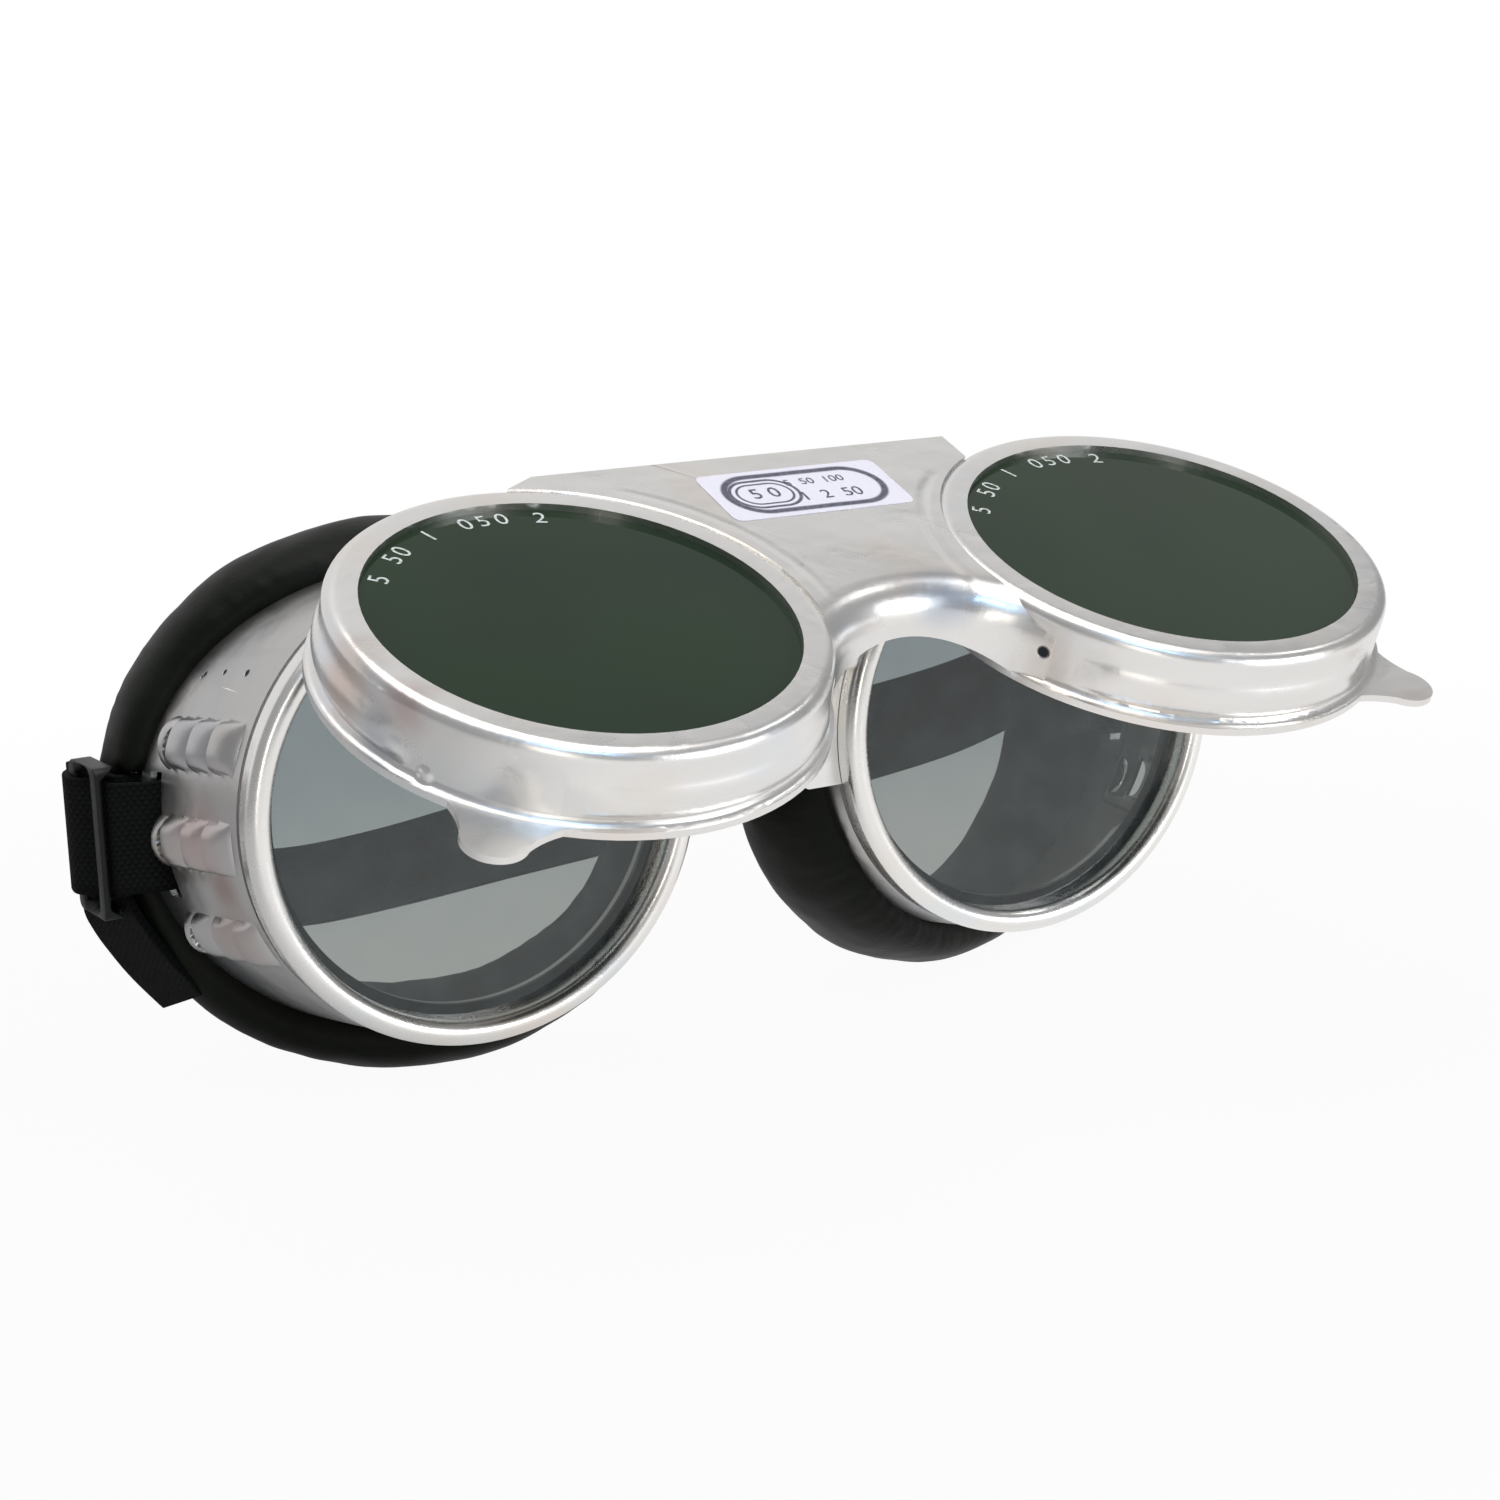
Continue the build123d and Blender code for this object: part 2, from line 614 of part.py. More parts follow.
finish(nose_bridge.part, "nose_bridge")
finish(hinge_pin.part, "hinge_pin")
finish(flip_frame.part, "flip_frame")
finish(head_strap.part, "head_strap")
finish(strap_slide.part, "strap_slide")
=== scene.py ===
import math

import bmesh
import bpy
import numpy as np
from mathutils import Matrix, Vector, noise
from mathutils.bvhtree import BVHTree


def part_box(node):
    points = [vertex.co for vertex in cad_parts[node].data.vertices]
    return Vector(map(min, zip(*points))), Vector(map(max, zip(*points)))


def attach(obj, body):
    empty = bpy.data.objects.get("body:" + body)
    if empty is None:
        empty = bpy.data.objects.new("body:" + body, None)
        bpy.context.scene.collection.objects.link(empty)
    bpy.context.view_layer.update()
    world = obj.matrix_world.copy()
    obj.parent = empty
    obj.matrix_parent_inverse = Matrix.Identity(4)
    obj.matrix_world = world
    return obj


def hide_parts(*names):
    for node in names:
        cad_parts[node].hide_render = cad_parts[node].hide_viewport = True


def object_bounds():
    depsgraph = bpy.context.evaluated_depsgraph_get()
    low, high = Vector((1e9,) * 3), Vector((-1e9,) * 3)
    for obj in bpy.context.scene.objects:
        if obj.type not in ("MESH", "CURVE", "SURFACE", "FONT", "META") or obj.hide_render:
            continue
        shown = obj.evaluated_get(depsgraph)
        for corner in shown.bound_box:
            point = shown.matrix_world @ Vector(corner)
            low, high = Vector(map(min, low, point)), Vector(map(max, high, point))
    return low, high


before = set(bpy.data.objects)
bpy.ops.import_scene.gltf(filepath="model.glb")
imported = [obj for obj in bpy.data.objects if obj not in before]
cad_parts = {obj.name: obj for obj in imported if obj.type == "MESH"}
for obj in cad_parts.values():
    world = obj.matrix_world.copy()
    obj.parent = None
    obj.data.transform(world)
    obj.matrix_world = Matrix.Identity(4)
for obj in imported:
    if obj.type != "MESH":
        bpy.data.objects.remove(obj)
cad_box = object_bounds()

# ---------------------------------------------------------------- camera, floor and light
# The goggles lie on a plain white table under broad, soft studio light. A long lens looks at
# them from the front, a little to their left and from slightly above.
eye = (-0.165774, -0.279160, 0.070533)
swing = math.radians(-30.398)
tilt = math.radians(12.134)
bank = math.radians(-1.978)
back = Vector((math.sin(swing) * math.cos(tilt), -math.cos(swing) * math.cos(tilt),
               math.sin(tilt)))
right = Vector((math.cos(swing), math.sin(swing), 0))
up = right.cross(-back)
bpy.ops.object.camera_add(location=eye)
camera = bpy.context.object
camera.name = "camera"
camera.matrix_world = Matrix((right * math.cos(bank) + up * math.sin(bank),
                              up * math.cos(bank) - right * math.sin(bank),
                              back)).transposed().to_4x4()
camera.location = eye
camera.data.sensor_width = 36
camera.data.lens = 68.43
camera.data.clip_start = 0.01
bpy.context.scene.camera = camera
bpy.context.scene.view_settings.view_transform = "Standard"


class Socket:
    """A shader socket that takes part in Python arithmetic."""

    def __init__(self, tree, socket):
        self.tree = tree
        self.socket = socket

    def node(self, kind, settings=(), out=0, **inputs):
        """Adds a node. An input is given by its name, or by i and its number."""
        made = self.tree.nodes.new(kind)
        for name, value in dict(settings).items():
            setattr(made, name, value)
        for name, value in inputs.items():
            target = made.inputs[int(name[1:]) if name[1:].isdigit() else name.replace("_", " ")]
            if isinstance(value, Socket):
                self.tree.links.new(value.socket, target)
            else:
                target.default_value = value
        return Socket(self.tree, made.outputs[out])

    def other(self, out):
        """Another output of the node that this one comes from."""
        return Socket(self.tree, self.socket.node.outputs[out])

    def math(self, operation, other=None):
        others = {} if other is None else {"i1": other}
        return self.node("ShaderNodeMath", {"operation": operation}, i0=self, **others)

    def __add__(self, other):
        return self.math("ADD", other)

    __radd__ = __add__

    def __sub__(self, other):
        return self.math("SUBTRACT", other)

    def __rsub__(self, other):
        return self.node("ShaderNodeMath", {"operation": "SUBTRACT"}, i0=other, i1=self)

    def __mul__(self, other):
        return self.math("MULTIPLY", other)

    __rmul__ = __mul__

    def __pow__(self, other):
        return self.math("POWER", other)

    def __abs__(self):
        return self.math("ABSOLUTE")

    def step(self, low, high):
        """0 below low, 1 above high and smooth between, or the other way round."""
        return self.node("ShaderNodeMapRange", {"interpolation_type": "SMOOTHSTEP"},
                         Value=self, From_Min=low, From_Max=high)

    def blend(self, low, high):
        """The colour that lies this share of the way from low to high."""
        ends = [end if isinstance(end, Socket) else (*end, 1) for end in (low, high)]
        return self.node("ShaderNodeMix", {"data_type": "RGBA"}, out=2,
                         i0=self, i6=ends[0], i7=ends[1])

    def bump(self, strength, distance):
        """The surface's normal where this is its height."""
        return self.node("ShaderNodeBump", Height=self, Strength=strength, Distance=distance)

    def axes(self):
        """The x, y and z of this place."""
        x = self.node("ShaderNodeSeparateXYZ", i0=self)
        return x, x.other(1), x.other(2)

    def noise(self, scale, detail, **more):
        """Cloudy noise at this place."""
        return self.node("ShaderNodeTexNoise", Vector=self, Scale=scale, Detail=detail, **more)

    def stretched(self, scale, rotation=(0, 0, 0)):
        """This place with the pattern on it drawn out and turned."""
        return self.node("ShaderNodeMapping", Vector=self, Scale=scale, Rotation=rotation)

    def away_from(self, x, y, z):
        """How far this place is from a point in millimetres, itself in metres."""
        return self.node("ShaderNodeVectorMath", {"operation": "DISTANCE"}, out=1, i0=self,
                         i1=(x / 1000, y / 1000, z / 1000))


def new_material(name):
    """An empty node material and its Object coordinates, in metres."""
    material = bpy.data.materials.new(name)
    material.use_nodes = True
    material.node_tree.nodes.clear()
    place = material.node_tree.nodes.new("ShaderNodeTexCoord")
    return material, Socket(material.node_tree, place.outputs["Object"])


def surface(material, shader):
    end = material.node_tree.nodes.new("ShaderNodeOutputMaterial")
    material.node_tree.links.new(shader.socket, end.inputs["Surface"])


def dress(piece, material):
    piece.data.materials.clear()
    piece.data.materials.append(material)


def studio_white(name, to_camera, to_metal):
    """Pale card: lit like any surface, and nearly white to the camera, to metal and through
    glass. Each share says how much of what is seen is plain white: to_camera near the goggles
    and far off, to_metal at the rear left and at the front right."""
    material, place = new_material(name)
    tone = place.noise(60.0, 2.0).blend((0.50, 0.50, 0.50), (0.53, 0.53, 0.53))
    card = place.node("ShaderNodeBsdfDiffuse", Color=tone)
    glow = place.node("ShaderNodeEmission", Color=(1, 1, 1, 1), Strength=1.0)
    path = place.node("ShaderNodeLightPath")
    camera_ray, glossy_ray, through_ray = (path.other(f"Is {kind} Ray")
                                           for kind in ("Camera", "Glossy", "Transmission"))
    far = place.node("ShaderNodeVectorMath", {"operation": "LENGTH"}, out=1, i0=place)
    eye_share = far.step(0.09, 0.30) * (to_camera[1] - to_camera[0]) + to_camera[0]
    x, y, _ = place.axes()
    frontwards = (x - y * 0.8).step(-0.13, 0.03)
    metal_share = frontwards * (to_metal[1] - to_metal[0]) + to_metal[0]
    seen = camera_ray * eye_share + glossy_ray * metal_share + through_ray * eye_share
    surface(material, place.node("ShaderNodeMixShader", i0=seen.math("MINIMUM", 1.0),
                                 i1=card, i2=glow))
    return material


floor_gap = 0.0001
bpy.ops.mesh.primitive_plane_add(size=6, location=(0, 0, cad_box[0][2] - floor_gap))
floor = bpy.context.object
floor.name = "floor"
dress(floor, studio_white("floor_card", (0.95, 1.0), (0.08, 0.88)))
bpy.ops.mesh.primitive_plane_add(size=6, location=(0, 1.6, 0), rotation=(math.pi / 2, 0, 0))
backdrop = bpy.context.object
backdrop.name = "backdrop"
dress(backdrop, studio_white("backdrop_card", (1.0, 1.0), (0.8, 0.8)))

world = bpy.data.worlds.new("studio")
bpy.context.scene.world = world
world.use_nodes = True
world.node_tree.nodes["Background"].inputs["Color"].default_value = (0.97, 0.98, 1.0, 1)
world.node_tree.nodes["Background"].inputs["Strength"].default_value = 0.36

# each lamp's place, what it shines on, its two sides, its power in watts and its colour
for name, place, target, sides, watts, colour in (
        ("top_lamp", (-0.1, -0.1, 0.75), (0, 0, 0), (0.8, 0.6), 4.2, (1.0, 0.98, 0.95)),
        ("left_lamp", (-0.45, -0.75, 0.10), (-0.03, 0, 0), (0.10, 0.45), 0.7, (1.0, 0.95, 0.86)),
        ("front_lamp", (0.44, -0.70, 0.16), (0, 0, 0), (0.4, 0.3), 2.3, (0.96, 0.98, 1.0)),
        ("sky_lamp", (-0.24, -0.76, 0.62), (0, 0, 0), (0.34, 0.10), 1.0, (0.36, 0.64, 1.0)),
        ("side_lamp", (0.60, -0.13, 0.68), (0, 0, 0), (0.14, 0.10), 0.3, (1.0, 1.0, 0.98))):
    bpy.ops.object.light_add(type="AREA", location=place)
    lamp = bpy.context.object
    lamp.name = name
    lamp.data.shape = "RECTANGLE"
    lamp.data.size, lamp.data.size_y = sides
    lamp.data.energy = watts
    lamp.data.color = colour
    lamp.rotation_euler = (Vector(target) - Vector(place)).to_track_quat("-Z", "Y").to_euler()

# ---------------------------------------------------------------- cups
# Two cups drawn from thin aluminium sheet, with pressed air louvres and strap slots in each
# temple side. The sheet is left bare, with the dull shine and small nicks of press work.


def bare_sheet(name, tone, gloss, wave, pressed=None, painted_reflections=(), pits=()):
    """Bare pressed aluminium: cloudy shine, painted reflections as warm and cool tints in patches,
    slight waves in the sheet, fine rubbing marks and a few dark nicks. gloss is its middle
    roughness and wave the depth of its bumps, to which pressed adds its own. The listed soft
    patches of another tone are painted reflections and painted highlights, and pits are small
    dark dents, each with its middle and radius in millimetres."""
    material, place = new_material(name)

    def tinted(red, green, blue):
        return tone[0] * red, tone[1] * green, tone[2] * blue

    cloud = place.noise(55.0, 3.0)
    smear = place.noise(160.0, 4.0, Distortion=0.6)
    grain = place.noise(2600.0, 2.0)
    rubbed = place.stretched((0.08, 1.0, 1.0), (0.3, 0.5, 0.2)).noise(700.0, 3.0)
    cells = place.node("ShaderNodeTexVoronoi", Vector=place, Scale=85.0)
    nick = cells.step(0.075, 0.03) * place.noise(31.0, 0.0).step(0.56, 0.6)
    # painted reflections: warm and cool tints in cloudy patches, for the pink and blue that the
    # metal mirrors
    painted_warm_reflection = cloud.step(0.52, 0.72).blend(tone, tinted(1.0, 0.93, 0.88))
    painted_cool_reflection = (cloud.step(0.46, 0.28) * 0.8).blend(painted_warm_reflection, tinted(0.91, 0.96, 1.04))
    colour = (nick * 0.85).blend(painted_cool_reflection, (0.10, 0.10, 0.12))
    rough = smear * 0.16 + (gloss - 0.10) + grain * 0.06 + nick * 0.3
    height = smear * 0.35 + cloud * 1.2 + rubbed * 0.02 + grain * 0.012 - nick * 0.25
    if pressed is not None:
        height = height + pressed(place)
    # the listed patches paint reflections and highlights into the metal's colour
    for x, y, z, radius, tint in painted_reflections:
        ragged = place.away_from(x, y, z) + smear * (radius * 0.0006)
        painted_patch = ragged.step(radius * 0.0013, radius * 0.0004) * 0.9
        colour = painted_patch.blend(colour, tinted(*tint))
    for x, y, z, radius in pits:
        dent = place.away_from(x, y, z).step(radius * 0.001, radius * 0.0006)
        colour = dent.blend(colour, (0.035, 0.04, 0.05))
        rough = rough + dent * 0.3
        height = height - dent * 0.5
    surface(material, place.node("ShaderNodeBsdfPrincipled", Base_Color=colour, Metallic=1.0,
                                 Roughness=rough, Normal=height.bump(1.0, wave)))
    return material


# these are the right-hand cup's sizes; the left cup is its mirror image
slant = math.radians(20)
to_rear = Vector((-math.sin(slant), math.cos(slant), 0))
to_temple = Vector((math.cos(slant), math.sin(slant), 0))
neck_x, neck_y, neck_radius = 0.0374, 0.0012, 0.0271
edge_middle = Vector((0.0375, 0.0205, -0.0028)) + to_temple * 0.001 - to_rear * 0.001
edge_half_length, edge_half_height = 0.032, 0.027
temple_x = 0.05              # the cup's temple side lies beyond this
panel_y = (0.0021, 0.0163)
panel_z = (-0.0172, 0.0142)
panel_pitch, panel_rows = 0.0002, 126        # of the fine grid that the louvres are pressed in
panel_sheet = 0.00055        # its thickness
wall_radius = 0.0288         # of the wall halfway back, to turn angles into lengths
hood_columns = (0.0066, 0.0112, 0.0158)      # y of each louvre's cut edge
hood_rows = (-28.0, -3.5, 20.0)              # degrees round the cup from the temple
hood_rise, hood_half_height, hood_run = 0.00150, 0.0031, 0.0043
hood_margin = 0.0004         # from the panel's front edge to the first louvres
cut_width = 0.00003          # over which a louvre drops at its cut edge
open_rise = 0.00045          # a drop over this is a louvre's open rear
press_corner = math.radians(34)              # sheet folded by more than this has a sharp edge


def cup_wall(turn, y):
    """The cup's outer face at an angle round it from the temple and a depth y."""
    cos, sin = np.cos(turn), np.sin(turn)
    end_x = edge_middle.x + to_temple.x * edge_half_length * cos
    end_y = edge_middle.y + to_temple.y * edge_half_length * cos
    end_z = edge_middle.z + edge_half_height * sin
    part = (y - neck_y) / (end_y - neck_y)
    start_x, start_z = neck_x + neck_radius * cos, neck_radius * sin
    return start_x + (end_x - start_x) * part, start_z + (end_z - start_z) * part


def copied(mesh, name):
    """A new piece with its own copy of a mesh, selected alone."""
    bpy.ops.object.select_all(action="DESELECT")
    piece = bpy.data.objects.new(name, mesh.copy())
    bpy.context.scene.collection.objects.link(piece)
    bpy.context.view_layer.objects.active = piece
    piece.select_set(True)
    return piece


def merged_copy(node, name, gap):
    """A copy of a CAD node's loose triangles, merged where they are closer than gap."""
    piece = copied(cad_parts[node].data, name)
    bpy.ops.mesh.customdata_custom_splitnormals_clear()
    bpy.ops.object.mode_set(mode="EDIT")
    bpy.ops.mesh.select_all(action="SELECT")
    bpy.ops.mesh.remove_doubles(threshold=gap)
    bpy.ops.object.mode_set(mode="OBJECT")
    return piece


def mirror(piece):
    """Turns a right-hand piece into its left-hand twin."""
    piece.data.transform(Matrix.Scale(-1, 4, (1, 0, 0)))
    piece.data.flip_normals()


def select_faces(piece, chosen):
    """Leaves piece in edit mode with just the faces selected for which chosen is true."""
    bpy.ops.object.mode_set(mode="EDIT")
    bpy.ops.mesh.select_all(action="DESELECT")
    bpy.ops.object.mode_set(mode="OBJECT")
    for face in piece.data.polygons:
        face.select = chosen(face)
    bpy.ops.object.mode_set(mode="EDIT")


def apply_all(piece):
    """Applies piece's modifiers and leaves it selected alone."""
    bpy.ops.object.select_all(action="DESELECT")
    bpy.context.view_layer.objects.active = piece
    piece.select_set(True)
    for modifier in list(piece.modifiers):
        bpy.ops.object.modifier_apply(modifier=modifier.name)


def joined(pieces, name):
    """All the pieces in the first one, under a new name, selected alone."""
    bpy.ops.object.select_all(action="DESELECT")
    for piece in pieces:
        piece.select_set(True)
    bpy.context.view_layer.objects.active = pieces[0]
    bpy.ops.object.join()
    pieces[0].name = name
    return pieces[0]


def on_panel(face):
    x, y, z = face.center
    return x > temple_x and panel_y[0] < y < panel_y[1] and panel_z[0] < z < panel_z[1]


# the panel with the louvres is cut out of the drawn shell and pressed from a finer grid
shell = merged_copy("right_cup", "right_cup_shell", 4e-6)
for middle, normal in (((0, panel_y[0], 0), (0, 1, 0)), ((0, panel_y[1], 0), (0, 1, 0)),
                       ((0, 0, panel_z[0]), (0, 0, 1)), ((0, 0, panel_z[1]), (0, 0, 1))):
    select_faces(shell, lambda face: face.center.x > temple_x)
    bpy.ops.mesh.bisect(plane_co=middle, plane_no=normal)
select_faces(shell, on_panel)
bpy.ops.mesh.delete(type="FACE")
bpy.ops.mesh.select_mode(type="EDGE")
bpy.ops.mesh.select_non_manifold(extend=False, use_wire=False, use_boundary=True,
                                 use_multi_face=False, use_non_contiguous=False,
                                 use_verts=False)
bpy.ops.mesh.bridge_edge_loops()
bpy.ops.mesh.select_mode(type="FACE")
bpy.ops.object.mode_set(mode="OBJECT")

depths = sorted({round(y, 7) for y in np.arange(panel_y[0], panel_y[1], panel_pitch)}
                | {panel_y[1]} | set(hood_columns) | {y + cut_width for y in hood_columns})
heights = np.linspace(panel_z[0], panel_z[1], panel_rows)
columns = len(depths) - 1
bpy.ops.mesh.primitive_grid_add(x_subdivisions=columns, y_subdivisions=panel_rows - 1, size=1)
panel = bpy.context.object
y, z = np.meshgrid(depths, heights)
# the angle round the cup at which its wall has each height z, found by halving
low, high = np.full(y.shape, -1.2), np.full(y.shape, 1.2)
for halving in range(40):
    middle = (low + high) / 2
    under = cup_wall(middle, y)[1] < z
    low, high = np.where(under, middle, low), np.where(under, high, middle)
turn = (low + high) / 2
x, _ = cup_wall(turn, y)
rise = np.zeros(y.shape)
for row in hood_rows:
    for column in hood_columns:
        forward = (column - y) / min(hood_run, column - panel_y[0] - hood_margin)
        beside = np.abs(turn - math.radians(row)) * wall_radius / hood_half_height
        inside = (forward > -1e-9) & (forward < 1) & (beside < 1)
        hood = (hood_rise * np.clip(1 - np.clip(forward, 0, 1) ** 2, 0, 1) ** 0.75
                * np.clip(1 - beside ** 3, 0, 1) ** 0.6)
        rise = np.maximum(rise, np.where(inside, hood, 0))
# the hoods rise along the wall's outward normal, from two short steps along the wall
step_turn, step_y = 0.001, 0.0001
tip_x, tip_z = cup_wall(turn + step_turn, y)
deep_x, deep_z = cup_wall(turn, y + step_y)
around = np.stack((tip_x - x, np.zeros(y.shape), tip_z - z), -1)
inward = np.stack((deep_x - x, np.full(y.shape, step_y), deep_z - z), -1)
out = np.cross(inward, around)
out /= np.linalg.norm(out, axis=-1, keepdims=True)
pressed = np.stack((x, y, z), -1) + out * rise[..., None]
panel.data.vertices.foreach_set("co", pressed.reshape(-1).astype(np.float32))
# each hood is open behind
drop = rise[:, :-1] - rise[:, 1:]
open_rear = (drop[:-1] > open_rise) & (drop[1:] > open_rise)
select_faces(panel, lambda face: bool(open_rear[divmod(face.index, columns)]))
bpy.ops.mesh.delete(type="FACE")
bpy.ops.object.mode_set(mode="OBJECT")
wall = panel.modifiers.new("sheet", "SOLIDIFY")
wall.thickness = panel_sheet
wall.offset = -1
apply_all(panel)
shell = joined([shell, panel], "right_cup_shell")
bpy.ops.object.shade_smooth_by_angle(angle=press_corner)
left_shell = copied(shell.data, "left_cup_shell")
mirror(left_shell)

# painted shade: the cups' aluminium is given a darker tone than the flip frame's, for the shade on
# their temple sides
shaded_cup_metal = bare_sheet("cup_aluminium_painted_shade", tone=(0.55, 0.54, 0.535), gloss=0.32, wave=0.00035,
                       # painted reflections: pink, brown and bluish patches of what the cups'
                       # sides mirror
                       painted_reflections=((-66.8, 8.5, -1.0, 7.5, (1.02, 0.86, 0.84)),
                               (-64.6, 6.5, -7.0, 4.5, (0.70, 0.55, 0.50)),
                               (-63.9, 7.2, -13.0, 7.0, (0.88, 0.76, 0.74)),
                               (-65.3, 11.3, 9.5, 6.5, (0.95, 0.97, 1.03)),
                               (60.0, 12.0, -6.0, 8.0, (1.0, 0.90, 0.87))),
                       pits=((-60.24, 12.91, 15.57, 0.38), (-59.58, 7.94, 16.09, 0.5),
                             (-61.2, 17.0, 15.0, 0.45), (-61.5, 17.3, 14.7, 0.4),
                             (-66.6, 19.0, 6.9, 0.35), (-60.9, 12.6, -18.4, 0.4),
                             (57.0, 9.0, 17.6, 0.45)))
for piece, side in ((shell, "right"), (left_shell, "left")):
    dress(piece, shaded_cup_metal)
    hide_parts(side + "_cup")
    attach(piece, "cups")

# ---------------------------------------------------------------- face pads
# A soft roll of foam in a black vinyl skin grips each cup's rear edge and seals it to the face.
# It is pushed on by hand, swells a little between the cup and the strap, and is pressed flat
# where the strap lies on it.
voxel = 0.00062
most_swell = 0.0005          # foam only swells so far under its skin
last_step = 14
cloth_scale = 8.0            # the simulation works at a larger size


def gaps_to(piece, *nodes):
    """How far each vertex of piece is from the nearest of these CAD nodes, in metres."""
    trees = []
    for node in nodes:
        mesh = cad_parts[node].data
        trees.append(BVHTree.FromPolygons([v.co for v in mesh.vertices],
                                          [p.vertices for p in mesh.polygons]))
    return [min((tree.find_nearest(v.co)[3] or 1.0) for tree in trees)
            for v in piece.data.vertices]


def share(value, start, run):
    """0 up to start, 1 from a run past it, and even between."""
    return min(max((value - start) / run, 0.0), 1.0)


roll = merged_copy("right_face_pad", "right_pad_roll", 1e-6)
even = roll.modifiers.new("even", "REMESH")
even.mode = "VOXEL"
even.voxel_size = voxel
even.use_smooth_shade = True
ease = roll.modifiers.new("ease", "SMOOTH")
ease.factor = 0.5
ease.iterations = 3
apply_all(roll)

gaps = gaps_to(roll, "right_cup", "head_strap", "right_clear_lens")
rest = [v.co.copy() for v in roll.data.vertices]
grip = roll.vertex_groups.new(name="grip")
for index, gap in enumerate(gaps):
    grip.add([index], 1.0 - share(gap, 0.0006, 0.0022), "REPLACE")
roll.data.transform(Matrix.Scale(cloth_scale, 4))
swell = roll.modifiers.new("swell", "CLOTH")
swell.settings.quality = 4
swell.settings.mass = 0.15
swell.settings.tension_stiffness = 12
swell.settings.compression_stiffness = 12
swell.settings.shear_stiffness = 4
swell.settings.bending_stiffness = 0.4
swell.settings.use_pressure = True
swell.settings.uniform_pressure_force = 4
swell.settings.vertex_group_mass = "grip"
swell.settings.effector_weights.gravity = 0
swell.collision_settings.use_collision = False
for step in range(1, last_step + 1):
    bpy.context.scene.frame_set(step)
apply_all(roll)
bpy.context.scene.frame_set(1)
roll.data.transform(Matrix.Scale(1 / cloth_scale, 4))
for v, start, gap in zip(roll.data.vertices, rest, gaps):
    push = v.co - start
    most = most_swell * share(gap, 0.0003, 0.003)
    if push.length > most:
        push = push * (most / push.length)
    v.co = start + push
roll.vertex_groups.clear()


def rumple(piece, seed):
    """Gentle hollows and puckers of a thin skin over foam, none where it is gripped."""
    normals = [v.normal.copy() for v in piece.data.vertices]
    for v, normal, gap in zip(piece.data.vertices, normals, gaps):
        free = share(gap, 0.0004, 0.004)
        p = v.co * 1000 + Vector((seed, 0, 0))
        soft = (noise.noise(p * 0.11) * 0.00028
                + noise.noise(p * 0.31 + Vector((7, 3, 1))) * 0.00010)
        around = math.atan2(v.co.z, abs(v.co.x) - neck_x)
        pucker = noise.noise(Vector((around * 22 + seed, v.co.y * 120, 4.0)))
        tight = max(0.0, 1.0 - abs(gap - 0.0022) / 0.0020)
        v.co += normal * (soft * free + pucker * 0.00016 * tight)


left_roll = copied(roll.data, "left_pad_roll")
rumple(roll, 0.0)
rumple(left_roll, 31.0)
mirror(left_roll)

vinyl, place = new_material("pad_vinyl_skin")
cells = place.node("ShaderNodeTexVoronoi", {"feature": "SMOOTH_F1"}, Vector=place, Scale=2100.0,
                   Smoothness=0.6)
creases = place.noise(420.0, 5.0, Roughness=0.6)
patches = place.noise(70.0, 3.0)
surface(vinyl, place.node(
    "ShaderNodeBsdfPrincipled",
    Base_Color=patches.step(0.35, 0.7).blend((0.0030, 0.0045, 0.0024), (0.0070, 0.0088, 0.0058)),
    Roughness=patches * 0.16 + 0.38, Specular_IOR_Level=0.11,
    Normal=(cells * 0.5 + creases * 0.6).bump(0.5, 0.00007)))
for piece, side in ((roll, "right"), (left_roll, "left")):
    dress(piece, vinyl)
    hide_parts(side + "_face_pad")
    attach(piece, "cups")

# ---------------------------------------------------------------- clear glasses, gaskets and rings
# Each cup's neck holds a round clear glass on a thin rubber gasket. A spun aluminium ring with a
# rounded bead screws over the neck and keeps the glass in.
glass, place = new_material("clear_glass")
dust = place.noise(240.0, 6.0)
height = place.axes()[2] + dust * 0.006
clear = place.node(
    "ShaderNodeBsdfPrincipled", Transmission_Weight=1.0, IOR=1.5, Roughness=0.0,
    Base_Color=height.step(-0.016, 0.016).blend((0.295, 0.315, 0.300), (0.205, 0.240, 0.250)),
    Normal=place.noise(18.0, 1.0).bump(0.3, 0.00002))
haze = place.node("ShaderNodeBsdfDiffuse", Color=(0.55, 0.66, 0.66, 1))
surface(glass, place.node("ShaderNodeMixShader", i0=dust.step(0.35, 0.8) * 0.05 + 0.045,
                          i1=clear, i2=haze))
rubber, place = new_material("gasket_rubber")
mottle = place.noise(900.0, 3.0)
surface(rubber, place.node(
    "ShaderNodeBsdfPrincipled", Roughness=mottle * 0.2 + 0.6,
    Base_Color=mottle.blend((0.018, 0.018, 0.017), (0.035, 0.034, 0.032)),
    Normal=mottle.bump(0.4, 0.00005)))
# painted light: the rings' aluminium is given a lighter tone than the flip frame's, for their
# bright fronts
lit_ring_metal = bare_sheet("ring_aluminium_painted_light", tone=(0.86, 0.845, 0.82), gloss=0.26, wave=0.00022)
for side in ("left", "right"):
    dress(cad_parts[side + "_clear_lens"], glass)
    dress(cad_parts[side + "_lens_gasket"], rubber)
    dress(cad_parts[side + "_lens_ring"], lit_ring_metal)

